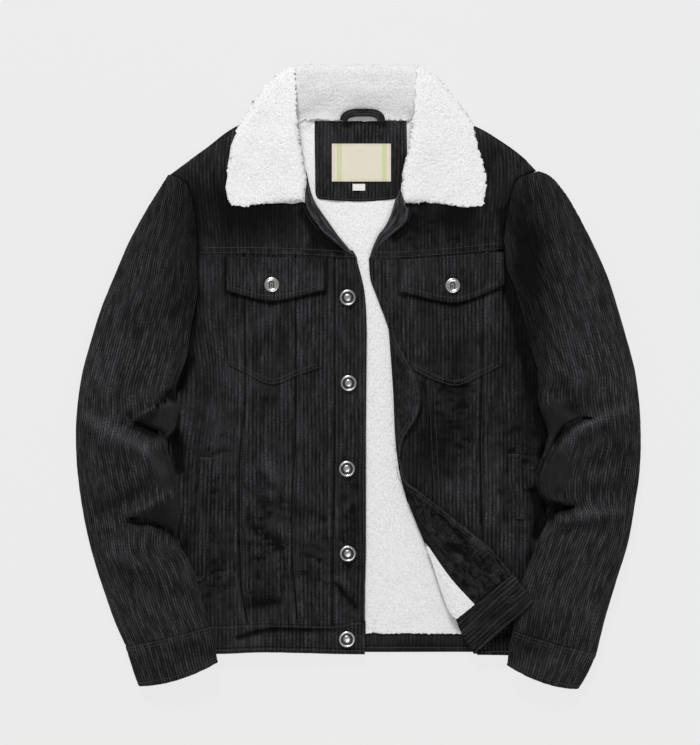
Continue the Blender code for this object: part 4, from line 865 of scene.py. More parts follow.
def layer(x, y, z):
    """A grid of points at the heights z."""
    return np.stack([x, y, np.broadcast_to(z, np.shape(x))], -1)


def settle(thing, node):
    """Every piece rides on the jacket, and the frame's part that it stands for is hidden."""
    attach(thing, "root")
    if node:
        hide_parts(node)


def rim_of(grid):
    """The points round a grid's edge."""
    return np.vstack([grid[0], grid[1:, -1], grid[-1, ::-1][1:], grid[::-1, 0][1:-1]])


# ---- sewing -------------------------------------------------------------------------------
SEWN = {"fronts": [], "sleeves": [], "neck": [], "label": []}


def stitch_mesh(name, runs, material, radius):
    """Rounded stitches at even steps along 3-D lines."""
    verts, faces = [], []
    for line in runs:
        run = run_along(line)
        for start in np.arange(0.3, run[-1] - STITCH, STITCH_STEP):
            path = placed(np.array([start, start + STITCH * 0.5, start + STITCH]), run, line)
            path[1, 2] += radius * 0.5
            path[[0, 2], 2] -= radius * 0.6
            way = path[2] - path[0]
            side = np.array([-way[1], way[0], 0.0]) / (math.hypot(way[0], way[1]) + 1e-9) * radius
            up = np.array([0.0, 0.0, radius])
            base = len(verts)
            for point, size in zip(path, (0.55, 1.0, 0.55)):
                verts += [point + side * size, point + up * size, point - side * size]
            for a in (base, base + 3):
                faces += [(a + k, a + n, a + 3 + n, a + 3 + k) for k, n in ((0, 1), (1, 2), (2, 0))]
            faces += [(base + 2, base + 1, base), (base + 6, base + 7, base + 8)]
    return make_object(name, verts, faces, material)


def bar_tack(start, end, surface, lift):
    """Short dense stitching across a pocket's end, as three lines side by side."""
    line = straight([start, end], 0.8)
    for aside in (-0.55, 0.0, 0.55):
        moved = offset(line, aside)
        SEWN["fronts"].append(np.column_stack([moved, surface(moved[:, 0], moved[:, 1]) + lift]))


# ---- corduroy cut in columns along its ribs -----------------------------------------------
END_ROWS = np.array([0.0, 0.5, 1.1, 1.8, 2.6, 3.6, 5.0, 6.2, 7.0, 7.8, 8.8, 10.5])
FELLED = {"raised": 0.7, "width": 9.0, "stitches": (1.8, 7.8)}
SINGLE = {"raised": 0.3, "width": 4.0, "stitches": (2.2,)}
DOUBLE = {"raised": 0.5, "width": 7.0, "stitches": (1.8, 6.2)}
FLAP_EDGE = {"raised": 0.5, "width": 7.0, "stitches": (5.6,)}
HEM = {"raised": 0.9, "width": 4.6, "stitches": (3.8,), "groove": 1.6}
PLAIN = {"raised": 0.0, "width": 4.0, "stitches": (), "groove": 0.0}
FLUSH = {**PLAIN, "round": 0.15}
CUFF_SEAM = {**DOUBLE, "round": 0.15, "groove": 0.2}
INWARD = {"left": -1, "right": 1, "bottom": 1, "top": -1}


def seams_of(rest=PLAIN, **named):
    """The kind of seam on each of a cut's four sides."""
    return {side: named.get(side, rest) for side in INWARD}


def seam_relief(distance, seam, along, seed):
    """Turned edge, raised allowance, sunk stitch lines and puckers beside a seam."""
    height = -seam.get("round", 0.9) * np.exp(-((distance / 0.8) ** 2))
    height += seam["raised"] * (1 - ramp(distance, seam["width"] - 0.8, seam["width"] + 1.0))
    height -= seam.get("groove", 0.4) * np.exp(-(((distance - seam["width"] - 0.6) / 1.1) ** 2))
    for row in seam["stitches"]:
        height -= 0.25 * np.exp(-(((distance - row) / 0.7) ** 2))
    if seam["stitches"]:
        pucker = noise(along / 6.5, distance / 14 + seed, seed)
        pucker = pucker + 0.6 * noise(along / 11, 0.3 + seed, seed + 1)
        height += 0.55 * pucker * np.exp(-((distance / 10) ** 2))
    return height


def lean(x, y):
    """How far the ribs stray sideways from straight lines."""
    return 0.9 * noise(x / 60, y / 70, 11) + 0.5 * noise(x / 25, y / 38, 12) + spots(LEANS, x, y)


def no_lean(x, y):
    return np.zeros(np.shape(x))


class Cut:
    """A piece of corduroy laid flat: its outline's four sides and the direction of its ribs."""

    def __init__(self, left, right, bottom, top, angle=0.0, stray=lean, grow=0.6, parts=40, pitch=RIB):
        lines = {"left": left, "right": right, "bottom": bottom, "top": top}
        self.sides = {name: smooth(line, parts) for name, line in lines.items()}
        grown = {name: shifted(line, -INWARD[name] * grow) for name, line in self.sides.items()}
        self.ring = np.vstack([grown["bottom"], grown["right"], grown["top"][::-1], grown["left"][::-1]])
        self.turn = np.array([[math.cos(angle), -math.sin(angle)], [math.sin(angle), math.cos(angle)]])
        self.stray = stray
        self.pitch = pitch

    def columns(self, spacing, steps, shares=None):
        """Places across and along the ribs, row by row, with close rows near both ends."""
        ring = self.ring @ self.turn
        across = ring[:, 0].copy()
        for _ in range(8):
            across = ring[:, 0] - self.stray(across, ring[:, 1])
        step = self.pitch / steps
        first, last = across.min(), across.max()
        inner = np.arange(math.ceil(first / step + 0.2), math.floor(last / step - 0.2) + 1) * step
        places = np.concatenate([[first + 0.03], inner, [last - 0.03]])
        a0, b0 = across[None], ring[:, 1][None]
        a1, b1 = np.roll(across, -1)[None], np.roll(ring[:, 1], -1)[None]
        here = places[:, None]
        crosses = (np.minimum(a0, a1) <= here) & (here <= np.maximum(a0, a1))
        share = np.clip((here - a0) / np.where(a1 == a0, 1e-9, a1 - a0), 0, 1)
        reach = b0 + (b1 - b0) * share
        low = np.where(crosses, reach, np.inf).min(1)
        high = np.where(crosses, reach, -np.inf).max(1)
        length = high - low
        middle = max(2, round((length.max() - 2 * END_ROWS[-1]) / spacing))
        scale = np.minimum(1, length / (2 * END_ROWS[-1] + 1))[:, None]
        span = length[:, None] - 2 * END_ROWS[-1] * scale
        if shares is None:
            shares = np.arange(1, middle) / middle
        ends = END_ROWS[None] * scale
        rows = [ends, ends[:, -1:] + span * shares[None], length[:, None] - ends[:, ::-1]]
        along = low[:, None] + np.concatenate(rows, 1)
        return np.broadcast_to(places[None], along.T.shape), along.T

    def plane(self, across, along):
        """Where places across and along the ribs lie in the view."""
        strayed = np.stack([across + self.stray(across, along), along], -1)
        return strayed @ self.turn.T

    def relief(self, x, y, seams):
        """Height that the seams add, and the distance to the nearest of them."""
        height = np.zeros_like(x)
        nearest = np.full(x.shape, np.inf)
        for number, (side, seam) in enumerate(seams.items()):
            distance = away_from(self.sides[side], x, y)
            nearest = np.minimum(nearest, distance)
            run = y if side in ("left", "right") else x
            height += seam_relief(distance, seam, run, number + 3)
        return height, nearest


def on_plane(surface):
    """Lays cloth over a height field."""
    def wrap(x, y):
        place = layer(x, y, surface(x, y))
        up = np.zeros_like(place)
        up[..., 2] = 1.0
        return place, up
    return wrap


def sew(cut, wrap, seams, group):
    """Keeps the lines that the stitches of a piece follow."""
    for side, seam in seams.items():
        for row in seam["stitches"]:
            line = offset(cut.sides[side], INWARD[side] * row, row)
            if len(line):
                spot, up = wrap(*line.T)
                SEWN[group].append(spot + up * (seam["raised"] + 0.35))


def ribbed_piece(name, cut, wrap, wall, seams, material, spacing=3.2, steps=RIB_STEPS, rib=RIB_HEIGHT,
                 group=None, shares=None, nap=tone_and_painted_light, bare=None):
    """Cloth with its ribs, seams, wear and painted shade, sewn with a group's thread."""
    across, along = cut.columns(spacing, steps, shares)
    plane = cut.plane(across, along)
    x, y = plane[..., 0], plane[..., 1]
    relief, nearest = cut.relief(x, y, seams)
    place, normal = wrap(x, y)
    here = place[..., 0], place[..., 1]
    smoothed = bare(*here) if bare else np.zeros(x.shape)
    ribs = rib * rib_height(across / cut.pitch, nearest) * (1 - smoothed)
    worn = 0.12 * noise(across / 1.1, along / 5, 21) + 0.25 * noise(across / cut.pitch, along / 22, 22)
    top = place + normal * (relief + ribs + worn)[..., None]
    grain = np.stack([across / cut.pitch, along / cut.pitch, nap(*here), smoothed], -1)
    if group:
        sew(cut, wrap, seams, group)
    return two_faced(name, top, place - normal * wall, material, grain, column_step=steps)


def lay_cloth(node, cut, wrap, wall, seams, material, rests_on, held="laid", **how):
    """Ribbed cloth for a node."""
    piece = ribbed_piece(node + "_cloth", cut, wrap, wall, seams, material, **how)
    settle(piece, node)


# ---- materials ----------------------------------------------------------------------------
class Finish:
    """A procedural material in the making: small nodes that feed its shader."""

    def __init__(self, name):
        self.made = bpy.data.materials.new(name)
        self.made.use_nodes = True
        self.tree = self.made.node_tree
        self.shader = self.tree.nodes["Principled BSDF"]

    def add(self, kind, output, inputs=None, **settings):
        """Adds a node, sets or links its inputs, and gives one of its outputs."""
        node = self.tree.nodes.new("ShaderNode" + kind)
        for name, value in settings.items():
            setattr(node, name, value)
        for key, value in (inputs or {}).items():
            if isinstance(value, bpy.types.NodeSocket):
                self.tree.links.new(value, node.inputs[key])
            else:
                node.inputs[key].default_value = (*value, 1.0) if isinstance(value, tuple) else value
        return node.outputs[output]

    def calc(self, operation, *values, clamp=False):
        return self.add("Math", 0, dict(enumerate(values)), operation=operation, use_clamp=clamp)

    def times(self, *values):
        """The product of two or three values."""
        first, second, *more = values
        product = self.calc("MULTIPLY", first, second)
        return self.times(product, *more) if more else product

    def gate(self, value, start, slope):
        """0 up to start, rising at slope, and never over 1."""
        return self.calc("MULTIPLY", self.calc("SUBTRACT", value, start), slope, clamp=True)

    def noise(self, vector, scale, detail=3.0, roughness=0.55):
        return self.add("TexNoise", "Fac", {"Vector": vector, "Scale": scale, "Detail": detail,
                                            "Roughness": roughness})

    def mix(self, factor, first, second):
        return self.add("Mix", 2, {0: factor, 6: first, 7: second}, data_type="RGBA")

    def vector(self, x, y):
        return self.add("CombineXYZ", "Vector", {"X": x, "Y": y})

    def mapped(self, layer):
        """The two values of a UV layer."""
        split = self.add("SeparateXYZ", "X", {"Vector": self.add("UVMap", "UV", uv_map=layer)}).node
        return split.outputs["X"], split.outputs["Y"]

    def done(self, colour, relief, strength, distance, constants):
        """Sets the colour, the small relief and the shader's constants, and gives the material."""
        bump = self.add("Bump", "Normal", {"Height": relief, "Strength": strength, "Distance": distance})
        self.tree.links.new(colour, self.shader.inputs["Base Color"])
        self.tree.links.new(bump, self.shader.inputs["Normal"])
        return self.constant(constants)

    def constant(self, constants):
        for name, value in constants.items():
            self.shader.inputs[name].default_value = value
        return self.made


def corduroy_material(name, dark, middle, light, ribbing=1.0):
    """Black ribbed cotton: painted shade in dashes along the valleys, paler streaks on the ridges, partly
    worn pile and partly painted sheen.
    """
    f = Finish(name)
    across, along = f.mapped("grain")
    # the second layer: the cloth's own tone with painted shade above 0 and painted highlight below 0, and how
    # bare of ribs
    darkness, bareness = f.mapped("nap")
    place = f.add("TexCoord", "Object")
    side = f.times(f.calc("ABSOLUTE", f.calc("SUBTRACT", f.calc("FRACT", across), 0.5)), 2.0)
    shown = f.times(f.calc("SUBTRACT", 1.0, bareness), ribbing)
    valley = f.times(f.calc("POWER", side, 1.5), shown)
    ridge = f.times(f.calc("SUBTRACT", 1.0, f.calc("POWER", side, 1.3)), shown)
    ribs = f.vector(f.times(f.calc("FLOOR", across), 5.73), f.times(along, 0.13))
    valleys = f.vector(f.times(f.calc("ROUND", across), 7.31), f.times(along, 0.20))
    specks = f.vector(f.times(across, 1.7), f.times(along, 2.6))
    dashes = f.gate(f.noise(valleys, 1.0), 0.36, 7.0)
    unbroken = f.gate(f.calc("SUBTRACT", 1.0, f.noise(place, 24.0, 4.0, 0.6)), 0.36, 7.0)
    streaks = f.gate(f.noise(ribs, 1.0), 0.40, 4.0)
    speck = f.gate(f.noise(specks, 1.0, 2.0), 0.34, 3.5)
    painted_highlight = f.gate(f.times(darkness, -1.0), 0.0, 0.6)
    # valleys darkened: painted shade between the ribs
    colour = f.mix(f.times(valley, dashes, unbroken), middle, dark)
    colour = f.mix(f.times(ridge, streaks, speck), colour, light)
    # painted highlight where the second layer is below 0
    colour = f.mix(f.times(painted_highlight, speck), colour, light)
    # painted shade, with the cloth's own darker tone, where it is above 0
    colour = f.mix(f.gate(darkness, 0.0, 0.92), colour, dark)
    return f.done(colour, f.noise(place, 1300.0, 2.0), 0.6, 0.0005,
                  {"Roughness": 0.9, "Specular IOR Level": 0.08, "Sheen Weight": 0.03,
                   "Sheen Roughness": 0.4})


def sherpa_material(name, dark, light):
    """White curly pile, with painted grey shade between the curls."""
    f = Finish(name)
    place = f.add("TexCoord", "Object")
    tufts = f.add("TexVoronoi", "Distance", {"Vector": place, "Scale": 560.0})
    fine = f.noise(place, 1100.0, 4.0, 0.65)
    shade = f.calc("ADD", f.times(tufts, 0.8), f.times(fine, 0.3))
    return f.done(f.mix(shade, light, dark), fine, 0.55, 0.0012,
                  {"Roughness": 0.95, "Specular IOR Level": 0.15, "Sheen Weight": 0.4, "Sheen Roughness": 0.6,
                   "Subsurface Weight": 0.25, "Subsurface Radius": (0.004, 0.004, 0.004)})


def plain_material(name, colour, roughness, metallic=0.0, grain_scale=900.0, contrast=0.25):
    """A finish with a fine uneven grain in its colour and surface."""
    f = Finish(name)
    speck = f.noise(f.add("TexCoord", "Object"), grain_scale)
    darker = tuple(c * (1 - contrast) for c in colour)
    return f.done(f.mix(speck, darker, colour), speck, 0.25, 0.0002,
                  {"Roughness": roughness, "Metallic": metallic})


def grey(level, blue):
    return level, level, blue


CORDUROY = corduroy_material("corduroy_black", grey(0.0010, 0.0013), grey(0.0185, 0.020), grey(0.066, 0.071))
CORDUROY_WORN = corduroy_material("corduroy_worn", grey(0.004, 0.005), grey(0.036, 0.038), grey(0.10, 0.106))
CORDUROY_SLEEVE = corduroy_material("corduroy_sleeve", grey(0.0008, 0.0010), grey(0.0186, 0.0201),
                                    grey(0.092, 0.0985))
CORDUROY_SMOOTH = corduroy_material("corduroy_inside", grey(0.0010, 0.0013), grey(0.0235, 0.0255),
                                    grey(0.08, 0.085), 0.5)
SHERPA = sherpa_material("sherpa_white", grey(0.66, 0.66), grey(0.965, 0.96))
# the same pile painted darker: the shade under the collar's roll
SHERPA_SHADED = sherpa_material("sherpa_painted_shade", grey(0.56, 0.56), grey(0.86, 0.857))
THREAD_DARK = plain_material("thread_black", grey(0.055, 0.059), 0.7, grain_scale=2500.0, contrast=0.6)
# near black: painted shade for the open slits of the buttonholes
SLIT_PAINTED_SHADE = plain_material("slit_painted_shade", grey(0.003, 0.0035), 0.9)
METAL = plain_material("button_metal", grey(0.62, 0.61), 0.28, 1.0, 700.0, 0.35)
# dark metal painted where the buttons show dark reflections: the groove of the front buttons and the bars on
# the flap buttons
METAL_PAINTED_REFLECTION = plain_material("button_painted_reflection", grey(0.06, 0.062), 0.45, 1.0, 900.0, 0.4)
WOVEN = {"roughness": 0.8, "grain_scale": 1400.0, "contrast": 0.16}
LABEL_CLOTH = plain_material("label_beige", (0.72, 0.67, 0.55), **WOVEN)
LABEL_BAND = plain_material("label_green", (0.60, 0.62, 0.36), **WOVEN)
TAB_CLOTH = plain_material("tab_white", (0.78, 0.77, 0.73), **WOVEN)


# ---- body ---------------------------------------------------------------------------------
def crossing(table, left, right, end):
    """The stretch of a crossing seam between two lines, at their first or last points."""
    return between(table, left[end][0], right[end][0])


def front_cut(left, right):
    return Cut(left, right, crossing(WAIST_SEAM, left, right, 0), crossing(YOKE_SEAM, left, right, -1))


def lay_front(node, cut, seams, rests_on, height=front_surface, wall=FRONT_WALL - 0.4, **how):
    """Cloth of the jacket's face, with the wear and painted shade of the fronts."""
    lay_cloth(node, cut, on_plane(height), wall, seams, CORDUROY, rests_on, group="fronts", nap=front_tone_and_painted_light,
              bare=front_bare, **how)


def make_fronts():
    right_b = RIGHT_SEAM_B_LOW + RIGHT_SEAM_B[1:]
    roll = [(80, -200)] + [p for p in ROLL_LINE if p[1] > -190]
    centre = Cut(roll, RIGHT_SEAM_B, [(80, -200), (92, -200)], crossing(YOKE_SEAM, roll, RIGHT_SEAM_B, -1))
    neckline = [(-2, 142), (-8, 152)] + LEFT_NECKLINE[1:]
    yoke_left = Cut(LEFT_ARMHOLE, neckline, between(YOKE_SEAM, -195, -2),
                    between(SHOULDER_LINE, -227, -80), pitch=YOKE_RIB)
    yoke_right = Cut(RIGHT_NECKLINE, RIGHT_ARMHOLE, between(YOKE_SEAM, 13, 177),
                     between(SHOULDER_LINE, 74, 214), pitch=YOKE_RIB)
    felled, button_stand = seams_of(left=FELLED), seams_of(left=SINGLE, right=DOUBLE)
    for name, cut, seams in (
            ("front_left_side", front_cut(LEFT_SIDE, LEFT_SEAM_A), seams_of()),
            ("front_left_middle", front_cut(LEFT_SEAM_A, LEFT_SEAM_B), felled),
            ("front_left_centre", front_cut(LEFT_SEAM_B, LEFT_PLACKET_SEAM), felled),
            ("placket_left", front_cut(LEFT_PLACKET_SEAM, LEFT_FRONT_EDGE), button_stand),
            ("front_right_middle", front_cut(right_b, RIGHT_SEAM_A), felled),
            ("front_right_side", front_cut(RIGHT_SEAM_A, RIGHT_SIDE), felled),
            ("front_right_centre", centre, seams_of()),
            ("yoke_left", yoke_left, seams_of(right=SINGLE, bottom=FELLED)),
            ("yoke_right", yoke_right, seams_of(left=SINGLE, bottom=FELLED))):
        lay_front(name, cut, seams, ["back_lining_pile"])


def make_waistbands():
    for side, x0, x1, low in (("left", -244, 8, -244), ("right", 120, 242, 143)):
        top = between(WAIST_SEAM, x0, x1)
        bottom = between(HEM_LINE, low, x1)
        cut = Cut([bottom[0], top[0]], [bottom[-1], top[-1]], bottom, top)
        seams = seams_of(right=SINGLE if side == "left" else PLAIN, bottom=HEM, top=SINGLE)
        lay_front("waistband_" + side, cut, seams, ["waistband_back_cloth"], spacing=2.5)


def on_front(lift):
    """Follows the fronts a little above their highest place nearby."""
    def height(x, y):
        around = ((0, 0), (3, 0), (-3, 0), (0, 3), (0, -3))
        return np.maximum.reduce([front_surface(x + dx, y + dy) for dx, dy in around]) + lift
    return height


def make_pockets():
    for side, pocket in (("left", POCKET_LEFT), ("right", POCKET_RIGHT)):
        (x0, x1), y, low = pocket["x"], pocket["top"], pocket["low"]
        cut = Cut([low[0], (x0, y)], [low[-1], (x1, y)], low, [(x0, y), (x1, y)], grow=0)
        lay_front("pocket_" + side, cut, seams_of(SINGLE, bottom=DOUBLE, top=PLAIN),
                  [f"front_{side}_middle_cloth"], on_front(POCKET_LIFT), PATCH_WALL)
    for side, flap in (("left", FLAP_LEFT), ("right", FLAP_RIGHT)):
        (x0, x1), (y0, y1), low = flap["x"], flap["top"], flap["low"]
        cut = Cut([low[0], (x0, y0)], [low[-1], (x1, y1)], low, [(x0, y0), (x1, y1)], grow=0, pitch=YOKE_RIB)

        def lifted(x, y, low=low):
            curl = 1.6 * ramp(y, table_value(low, x) + 26, table_value(low, x))
            return on_front(FLAP_LIFT)(x, y) + curl + 0.5 * noise(x / 18, y / 15, 71)

        lay_cloth("flap_" + side, cut, on_plane(lifted), FACING_WALL, seams_of(FLAP_EDGE, top=PLAIN),
                  CORDUROY, [f"pocket_{side}_cloth"], spacing=2.4, group="fronts")
    on_welt = on_front(WELT_LIFT)
    for side, welt in (("left", WELT_LEFT), ("right", WELT_RIGHT)):
        first, second = welt["left"], welt["right"]
        cut = Cut(first, second, [first[0], second[0]], [first[-1], second[-1]], grow=0)
        lay_cloth("welt_" + side, cut, on_plane(on_welt), PATCH_WALL, seams_of(SINGLE), CORDUROY,
                  [f"front_{side}_side_cloth"], spacing=2.4, group="fronts")
        for end in (0, -1):
            (xa, ya), (xb, yb) = first[end], second[end]
            bar_tack((xa + 1, ya), (xb - 1, yb), on_welt, 1.2)


def make_back():
    """The outside of the back lies on the table, so its ribs point down."""
    highest = NECK_SEAM_Y - SEAM_GAP
    edges = (LEFT_SIDE, LEFT_ARMHOLE, 1.2), (RIGHT_SIDE, RIGHT_ARMHOLE, -1.2)
    left, right = ([(x + inset, min(y, highest)) for x, y in [*smooth(side, 16), *smooth(armhole, 5)[1:]]]
                   for side, armhole, inset in edges)
    shoulders = [(x, min(y - 1.5, highest)) for x, y in SHOULDER_LINE[1:-1]]
    panel = Cut(left, right, crossing(WAIST_SEAM, left, right, 0), [left[-1], *shoulders, right[-1]], grow=0)
    band = Cut([(-242, -331), (-242, -297.5)], [(240, -334), (240, -297.5)],
               between(HEM_LINE, -242, 240) + [0, 1], between(WAIST_SEAM, -242, 240) - [0, SEAM_GAP], grow=0)
    level = on_plane(lambda x, y: 0.9)
    for name, cut, spacing in (("back_panel", panel, 18.0), ("waistband_back", band, 8.0)):
        piece = ribbed_piece(name + "_cloth", cut, level, 0.0, seams_of(), CORDUROY, spacing, 2, 1.0)
        places = np.zeros(len(piece.data.vertices) * 3)
        piece.data.vertices.foreach_get("co", places)
        places[2::3] = np.maximum(0.0, BACK_WALL * MM - np.maximum(places[2::3], 0.05 * MM))
        piece.data.vertices.foreach_set("co", places)
        piece.data.flip_normals()
        settle(piece, name)


def box_sides(box):
    """The left, right, bottom and top of a rectangle."""
    (a, b), (c, d) = box["x"], box["y"]
    return [(a, c), (a, d)], [(b, c), (b, d)], [(a, c), (b, c)], [(a, d), (b, d)]


def make_lining():
    """Sherpa of the back, fine where the open front shows it, and the inside of the waistband."""
    y = np.linspace(LINING_LEFT[0][1], NECK_SEAM_Y, LINING_ROWS)[:, None]
    start, end = x_at(LINING_LEFT, y), x_at(LINING_RIGHT, y)
    seen_left, seen_right = x_at(SEEN_LEFT, y), x_at(SEEN_RIGHT, y)
    hidden = np.linspace(0, 1, HIDDEN_COLUMNS + 1)[None]
    x = np.hstack([start + (seen_left - start) * hidden[:, :-1],
                   seen_left + (seen_right - seen_left) * np.linspace(0, 1, LINING_COLUMNS)[None],
                   seen_right + (end - seen_right) * hidden[:, 1:]])
    y = np.broadcast_to(y, x.shape)
    grain = np.stack([x, y], -1) / RIB
    z = LINING_TOP - 1.4 + pile(x, y, LINING_PILE) + 3.4 * ramp(y, 296, 309) * ramp(np.abs(x - 2.5), 57, 62)
    pressed = np.maximum(LINING_FLOOR + 0.6, front_surface(x, y) - FRONT_WALL - 0.4)
    is_hidden = (x < seen_left - 3) | (x > seen_right + 3)
    z = np.where(is_hidden, np.minimum(z, pressed), z)
    y = y - (1.3 * noise(x / 1.9, 0.5, 35) + 0.9 * noise(x / 0.9, 0.5, 36)) * ramp(y, -304, -310)
    piece = two_faced("back_lining_pile", layer(x, y, z), layer(x, y, LINING_FLOOR), SHERPA, grain, 20, 20)
    settle(piece, "back_lining")

    def band_top(x, y):
        return LINING_FLOOR + FACING_WALL + 0.6 * noise(x / 30, y / 9, 73) - 1.2 * ramp(y, -314, -310)

    lay_cloth("waistband_back_inside", Cut(*box_sides(BAND_INSIDE), grow=0), on_plane(band_top), FACING_WALL,
              seams_of(bottom=HEM), CORDUROY_SMOOTH, ["waistband_back_cloth"], spacing=3.4, rib=0.25,
              group="fronts")


# ---- the turned-back corner ---------------------------------------------------------------
def along_strip(x, y):
    """Shift of the turned strip's ribs, which follow its bend."""
    return table_value(STRIP_LEAN, y) + lean(x, y)


def joined(first, second):
    """Adds the second object's mesh to the first and removes the second."""
    mesh = bmesh.new()
    mesh.from_mesh(first.data)
    mesh.from_mesh(second.data)
    mesh.to_mesh(first.data)
    mesh.free()
    bpy.data.objects.remove(second)
    return first


def make_turned_corner():
    narrow = [(47.5, -98), (50.5, -98)]
    how = {"stray": along_strip, "grow": 0, "pitch": YOKE_RIB}
    lower = Cut(FACING_INNER + [(59, -148), (51, -120), narrow[0]],
                [(184, -235)] + TURNED_EDGE[2:8] + [narrow[1]], TURNED_BAND_TOP[1:], narrow, **how)
    upper = Cut([narrow[0], (45, -79), (43, -33), (40, 24), (37, 57)], [narrow[1]] + TURNED_EDGE[9:],
                narrow, [(37, 57), (42, 57)], **how)
    turned, below = on_plane(turned_surface), ["front_right_middle_cloth"]
    ends = [ribbed_piece(name, cut, turned, FACING_WALL, seams_of(right=DOUBLE), CORDUROY_SMOOTH, 2.2,
                         rib=0.25, group="fronts", nap=turned_tone_and_painted_light)
            for name, cut in (("facing_right_turned_cloth", lower), ("facing_upper_end", upper))]
    settle(joined(*ends), "facing_right_turned")

    lower_roll = [(117, -291), (109, -283), (100, -260), (87, -220), (80.5, -204)]
    inner = FACING_INNER[:-1]
    grid = patch(lower_roll, inner, TURNED_BAND_TOP[:2], [lower_roll[-1], inner[-1]], 40, 90)
    x, y = grid[..., 0], grid[..., 1]
    floor = turned_floor(x, y)
    top = layer(x, y, floor + LINING_WALL - 1.6 + pile(x, y, LINING_PILE))
    piece = two_faced("lining_right_turned_pile", top, layer(x, y, floor), SHERPA, grid / RIB, 8, 6)
    settle(piece, "lining_right_turned")

    hem = [(139, -334), (172, -304), (209, -268)]
    way = math.atan2(hem[-1][1] - hem[0][1], hem[-1][0] - hem[0][0]) - math.pi / 2
    band = Cut([(139, -334), (123, -307), (117, -291)], [(209, -268), (198, -253), (184, -235)], hem,
               TURNED_BAND_TOP, angle=way, stray=no_lean, grow=0)
    lay_cloth("waistband_right_turned", band, turned, FACING_WALL, seams_of(SINGLE, left=PLAIN), CORDUROY,
              ["front_right_side_cloth"], "folded", spacing=2.6, group="fronts")


# ---- neck ---------------------------------------------------------------------------------
def facing_surface(x, y):
    """Outer face of the facings beside the neck, which climb onto the patch and up to the fronts."""
    fold = 0.5 * np.sin((np.abs(x) * 0.8 - y * 0.55) * 0.9) + 0.9 * noise(x / 5, y / 6, 63)
    flat = LINING_TOP + 0.6 + FACING_WALL + (PATCH_WALL + 0.3) * ramp(y, 192, 206)
    raised = np.maximum(flat, front_top(x, y) + 1.3)
    return flat + (raised - flat) * ramp(y, 226, 206) + fold


def woven_label(name, box, made, steps, floor):
    """A thin rectangle of woven tape, a little wavy, pressed down along its sewn edge."""
    (a, b), (c, d) = box["x"], box["y"]
    grid = patch(*box_sides(box), steps, steps * 2 // 3)
    x, y = grid[..., 0], grid[..., 1]
    rim = np.minimum.reduce([x - a, b - x, y - c, d - y])
    z = floor + 1.5 + 0.35 * noise(x / 17, y / 13, 75) - 0.4 * np.exp(-((rim - LABEL_SEAM) / 0.6) ** 2)
    return two_faced(name, layer(x, y, z), layer(x, y, z - 0.7), made, grid, 4, 4)


def make_neck():
    """The patch at the neck, with a label and a size tab sewn on it."""
    (x0, x1), (y0, y1) = PATCH["x"], PATCH["y"]
    on_patch = LINING_TOP + SEAM_GAP + PATCH_WALL
    low = [(x0, y0 + 10), (x0 + 2.5, y0 + 3.5), (x0 + 9, y0 - 0.5), ((x0 + x1) / 2, y0 - PATCH["sag"]),
           (x1 - 16, y0), (x1 - 11, y0 + 5)]

    def patch_top(x, y):
        crease = -0.8 * np.exp(-(((y - 287 - 1.2 * noise(x / 20, 0.5, 74)) / 1.6) ** 2))
        return on_patch + 0.7 * noise(x / 22, y / 18, 72) + crease

    cut = Cut([low[0], (x0, y1)], [low[-1], (x1, y0 + 20), (x1, y1)], low, [(x0, y1), (x1, y1)], grow=0,
              pitch=YOKE_RIB)
    lay_cloth("neck_patch", cut, on_plane(patch_top), PATCH_WALL, seams_of(SINGLE, top=PLAIN), CORDUROY,
              ["back_lining_pile"], spacing=2.6, rib=0.5, group="neck")

    tab = woven_label("size_tab_cloth", SIZE_TAB, TAB_CLOTH, 16, on_patch)
    settle(tab, "size_tab")
    label = woven_label("neck_label_cloth", LABEL, LABEL_CLOTH, 72, on_patch)
    label.data.materials.append(LABEL_BAND)
    for face in label.data.polygons:
        face.material_index = int(any(start < face.center.x / MM < end for start, end in LABEL_BANDS))
    (a, b), (c, d) = LABEL["x"], LABEL["y"]
    settle(label, "neck_label")
    a, b, c, d = a + LABEL_SEAM, b - LABEL_SEAM, c + LABEL_SEAM, d - LABEL_SEAM
    edge = straight([(a, c), (b, c), (b, d), (a, d), (a, c)], 2.0)
    SEWN["label"].append(layer(*edge.T, on_patch + 1.6))


def make_neck_facings():
    """The upper ends of the front facings, which fold along the neckline."""
    for side, strip in (("left", NECK_FACING_LEFT), ("right", NECK_FACING_RIGHT)):
        outer, inner = strip["outer"], strip["inner"]
        grid = patch(outer, inner, [outer[0], inner[0]], [outer[-1], inner[-1]], 25, 64)
        piece = strip_piece(f"neck_facing_{side}_cloth", grid, side == "right")
        settle(piece, "neck_facing_" + side)


